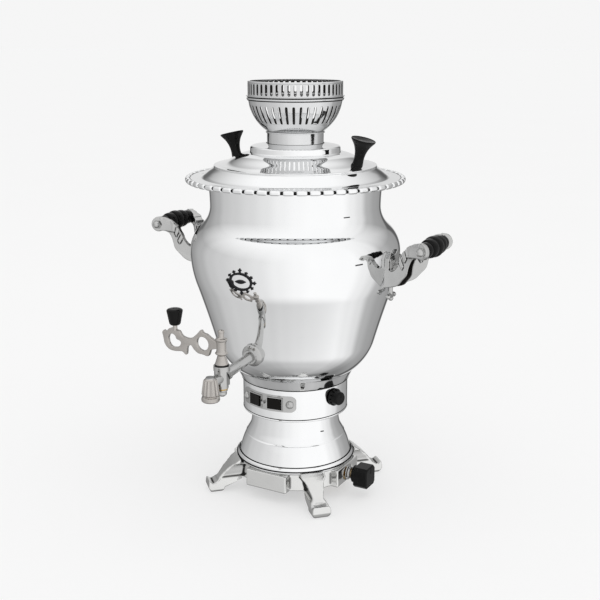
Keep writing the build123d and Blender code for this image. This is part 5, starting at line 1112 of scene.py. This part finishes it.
def badge_outlines():
    """The badge's outlines: an oval (a cos t, b sin t) with twelve small cross-shaped points along its
    normal, the oval opening inside it, and a leaf between two arcs."""
    wide, tall, band, points = 13.5, 9.65, 2.2, 12
    cross = np.array([(-0.75, 0), (-0.75, 0.4), (-1.7, 0.42), (-1.7, 0.68), (-0.75, 0.7), (0, 1.0),
                      (0.75, 0.7), (1.7, 0.68), (1.7, 0.42), (0.75, 0.4), (0.75, 0)])
    edge = []
    for k in range(points):
        t = 2 * np.pi * k / points
        away = np.array([np.cos(t) / wide, np.sin(t) / tall])
        away /= np.hypot(*away)
        along = np.array([away[1], -away[0]])
        long = 5.0 if k % (points // 4) == 0 else 3.4
        foot = np.array([wide * np.cos(t), tall * np.sin(t)]) - 0.2 * away
        edge.append(foot - cross[:, :1] * along + cross[:, 1:] * long * away)
        edge.append(oval(0, 0, wide, tall, t + 2 * np.pi / points * np.linspace(0.2, 0.8, 5)))
    opening = oval(0, 0, wide - band, tall - band, circle_angles(48))
    s = np.linspace(-1, 1, 12)
    upper, lower = (np.stack([6.5 * s, bow * (1 - s**2)], 1) for bow in (2.0, -2.0))
    return [np.vstack(edge), opening, np.vstack([upper, lower[-2:0:-1]])]


class SAMOVAR_OT_badge(SamovarOperator):
    """The badge: an open oval ring with points and a leaf, laid on the urn's wall: a flat point
    (x, y) goes to the angle x / R and the height y, R being the wall's radius at that height."""

    bl_idname = "samovar.badge"
    bl_label = "Badge"

    def execute(self, context):
        line = urn_outline()
        middle, half = 263.5, 0.6

        def on_wall(flat):
            z = middle + flat[:, 1]
            radius = np.interp(z, line[:, 1], line[:, 0])
            angle = flat[:, 0] / radius
            out = radius + flat[:, 2] + half + 0.05
            return np.stack([out * np.sin(angle), -out * np.cos(angle), z], 1)

        plate_piece("badge", badge_outlines(), half, 0.15, on_wall, "enamel", node="medallion")
        return {"FINISHED"}


class SAMOVAR_OT_inner(SamovarOperator):
    """Finishes for the CAD nodes that stay as they are, from the record's material slots."""

    bl_idname = "samovar.inner"
    bl_label = "Inner pieces"

    def execute(self, context):
        by_slot = {"polished_steel": "steel", "plated_casting": "fittings", "inner_steel": "brushed",
                   "nickel": "nickel", "brass": "brass", "black_grip": "black", "black_plastic": "matte",
                   "rocker_plastic": "rocker", "rubber": "rubber", "enamel": "enamel", "burner_iron": "iron"}
        slots = {part["node"]: part["material_slot"] for part in frame["record"]["subparts"]}
        for node, piece in frame["nodes"].items():
            coloured(piece.data, by_slot[slots[node]])
        return {"FINISHED"}


# Brightness of the studio around the camera's own direction, degrees to its right
STUDIO_SIDES = [(-179, 0.80), (-168, 0.80), (-163, 0.15), (-157, 0.15), (-150, 0.34), (-123, 0.50),
                (-106, 0.64), (-88, 0.70), (-62, 0.80), (-40, 0.90), (-20, 1.02), (2, 1.10), (20, 1.14),
                (64, 1.14), (80, 1.0), (95, 0.86), (110, 0.52), (130, 0.40), (150, 0.35), (155, 0.12),
                (162, 0.12), (168, 0.75), (179, 0.75)]
# Brightness of the studio from straight below (-1) to straight above (1)
STUDIO_HEIGHTS = [(-1.0, 0.45), (-0.88, 0.58), (-0.64, 1.0), (1.0, 1.0)]
# A dark card: middle and half width to the camera's right, middle and half height, degrees, brightness
CARD_SIDE, CARD_WIDE, CARD_LEVEL, CARD_TALL, CARD_BRIGHT = 71.0, 5.0, -5.2, 1.7, 0.02
# Brightness of the plain ground that the camera sees, and of the studio high up, in grey; the floor's
# radius in metres
GROUND, ABOVE, FLOOR_RADIUS = (0.92, 0.92, 0.92, 1), (0.56, 0.56, 0.56, 1), 60.0
# The camera: its place in metres, its fall and its turn in degrees, its lens and the picture's shift
CAMERA_PLACE = (0.5201, -0.9382, 0.5)
CAMERA_FALL, CAMERA_TURN = 14.72, 29.0
CAMERA_LENS, CAMERA_SHIFT = 59.2, 0.0077


class SAMOVAR_OT_stage(SamovarOperator):
    """A plain pale floor, soft studio light and the camera."""

    bl_idname = "samovar.stage"
    bl_label = "Stage"

    def floor(self):
        spots = oval(0, 0, FLOOR_RADIUS, FLOOR_RADIUS, circle_angles(96))
        mesh = bpy.data.meshes.new("floor")
        mesh.from_pydata(np.column_stack([spots, 0 * spots[:, 0]]), [], [list(range(len(spots)))])
        floor = in_scene("floor", mesh)
        material, tree, shader, place = node_tree("Studio floor")
        fed(tree, shader, {
            "Base Color": tinted(tree, noise(tree, place, 3.0), finish_value("floor"), 0.99),
            "Roughness": 0.9, "Specular IOR Level": 0.0, "Emission Color": (1, 1, 1, 1),
            "Emission Strength": finish_value("floor_glow")})
        mesh.materials.append(material)
        floor.visible_glossy = False

    def world(self, scene):
        """The studio's brightness for a direction is its side's brightness times its height's, more even
        high up, with a card laid over it; the camera itself sees a plain pale ground."""
        world = bpy.data.worlds.new("Studio")
        scene.world = world
        world.use_nodes = True
        tree = world.node_tree
        tree.nodes.clear()
        toward = linked(tree, "ShaderNodeTexCoord", {}).outputs["Generated"]
        x, y, z = linked(tree, "ShaderNodeSeparateXYZ", {0: toward}).outputs
        turn = worked(tree, "SUBTRACT", worked(tree, "ARCTAN2", y, x), math.radians(CAMERA_SIDE - 180.0))
        share = worked(tree, "FRACT", worked(tree, "DIVIDE", turn, 2 * math.pi))
        sides = graded(tree, share, [(d / 360 + 0.5, v / 2) for d, v in STUDIO_SIDES])
        heights = graded(tree, spread(tree, z, 0.0, 1.0, -1.0, 1.0),
                         [(h / 2 + 0.5, v) for h, v in STUDIO_HEIGHTS])
        even = blended(tree, spread(tree, z, 0.0, 1.0, 0.25, 0.9), sides, ABOVE)
        bright = blended(tree, 1.0, even, heights, "MULTIPLY")
        low, high = (math.sin(math.radians(CARD_LEVEL + CARD_TALL * way)) for way in (-1, 1))
        across = worked(tree, "COMPARE", share, CARD_SIDE / 360 + 0.5, CARD_WIDE / 360)
        up = worked(tree, "COMPARE", z, (low + high) / 2, (high - low) / 2)
        bright = blended(tree, worked(tree, "MULTIPLY", across, up), bright, (CARD_BRIGHT / 2,) * 3 + (1,))
        studio = linked(tree, "ShaderNodeBackground", {"Color": bright, "Strength": 2.0})
        plain = linked(tree, "ShaderNodeBackground", {"Color": GROUND})
        seen = linked(tree, "ShaderNodeLightPath", {}).outputs["Is Camera Ray"]
        mixed = linked(tree, "ShaderNodeMixShader", {0: seen, 1: studio.outputs[0], 2: plain.outputs[0]})
        linked(tree, "ShaderNodeOutputWorld", {"Surface": mixed.outputs[0]})

    def camera(self, scene):
        lens = bpy.data.cameras.new("Camera")
        lens.lens = CAMERA_LENS
        lens.sensor_width = 36.0
        lens.shift_x = CAMERA_SHIFT
        lens.clip_start = 0.01
        camera = in_scene("Camera", lens)
        camera.location = CAMERA_PLACE
        camera.rotation_euler = (math.radians(90 - CAMERA_FALL), 0, math.radians(CAMERA_TURN))
        scene.camera = camera

    def execute(self, context):
        scene = context.scene
        scene.view_settings.view_transform = "Standard"
        self.floor()
        self.world(scene)
        self.camera(scene)
        data = bpy.data.lights.new("Top", "AREA")
        data.shape = "DISK"
        data.size = 2.0
        data.energy = 4.0
        light = in_scene("Top", data)
        light.location = (0.3, -0.3, 2.2)
        light.visible_glossy = False
        return {"FINISHED"}


class SAMOVAR_PT_panel(bpy.types.Panel):
    """Lists the samovar's operators and settings in the sidebar."""

    bl_label = "Samovar"
    bl_idname = "SAMOVAR_PT_panel"
    bl_space_type = "VIEW_3D"
    bl_region_type = "UI"
    bl_category = "Samovar"

    def draw(self, context):
        for operator in OPERATORS:
            self.layout.operator(operator.bl_idname)
        for group in (context.scene.samovar_sizes, context.scene.samovar_finishes):
            box = self.layout.box()
            for name in group.bl_rna.properties.keys():
                if name not in ("name", "rna_type"):
                    box.prop(group, name)


OPERATORS = [SAMOVAR_OT_inner, SAMOVAR_OT_urn, SAMOVAR_OT_base, SAMOVAR_OT_band, SAMOVAR_OT_gallery,
             SAMOVAR_OT_lid, SAMOVAR_OT_crown, SAMOVAR_OT_handles, SAMOVAR_OT_tap, SAMOVAR_OT_controls,
             SAMOVAR_OT_foot, SAMOVAR_OT_badge, SAMOVAR_OT_stage]
CLASSES = [SamovarSizes, SamovarFinishes, *OPERATORS, SAMOVAR_PT_panel]


def register():
    for each in CLASSES:
        bpy.utils.register_class(each)
    bpy.types.Scene.samovar_sizes = PointerProperty(type=SamovarSizes)
    bpy.types.Scene.samovar_finishes = PointerProperty(type=SamovarFinishes)


def unregister():
    del bpy.types.Scene.samovar_sizes
    del bpy.types.Scene.samovar_finishes
    for each in reversed(CLASSES):
        bpy.utils.unregister_class(each)


def main():
    register()
    for operator in OPERATORS:
        group, name = operator.bl_idname.split(".")
        getattr(getattr(bpy.ops, group), name)()


if __name__ == "__main__":
    main()
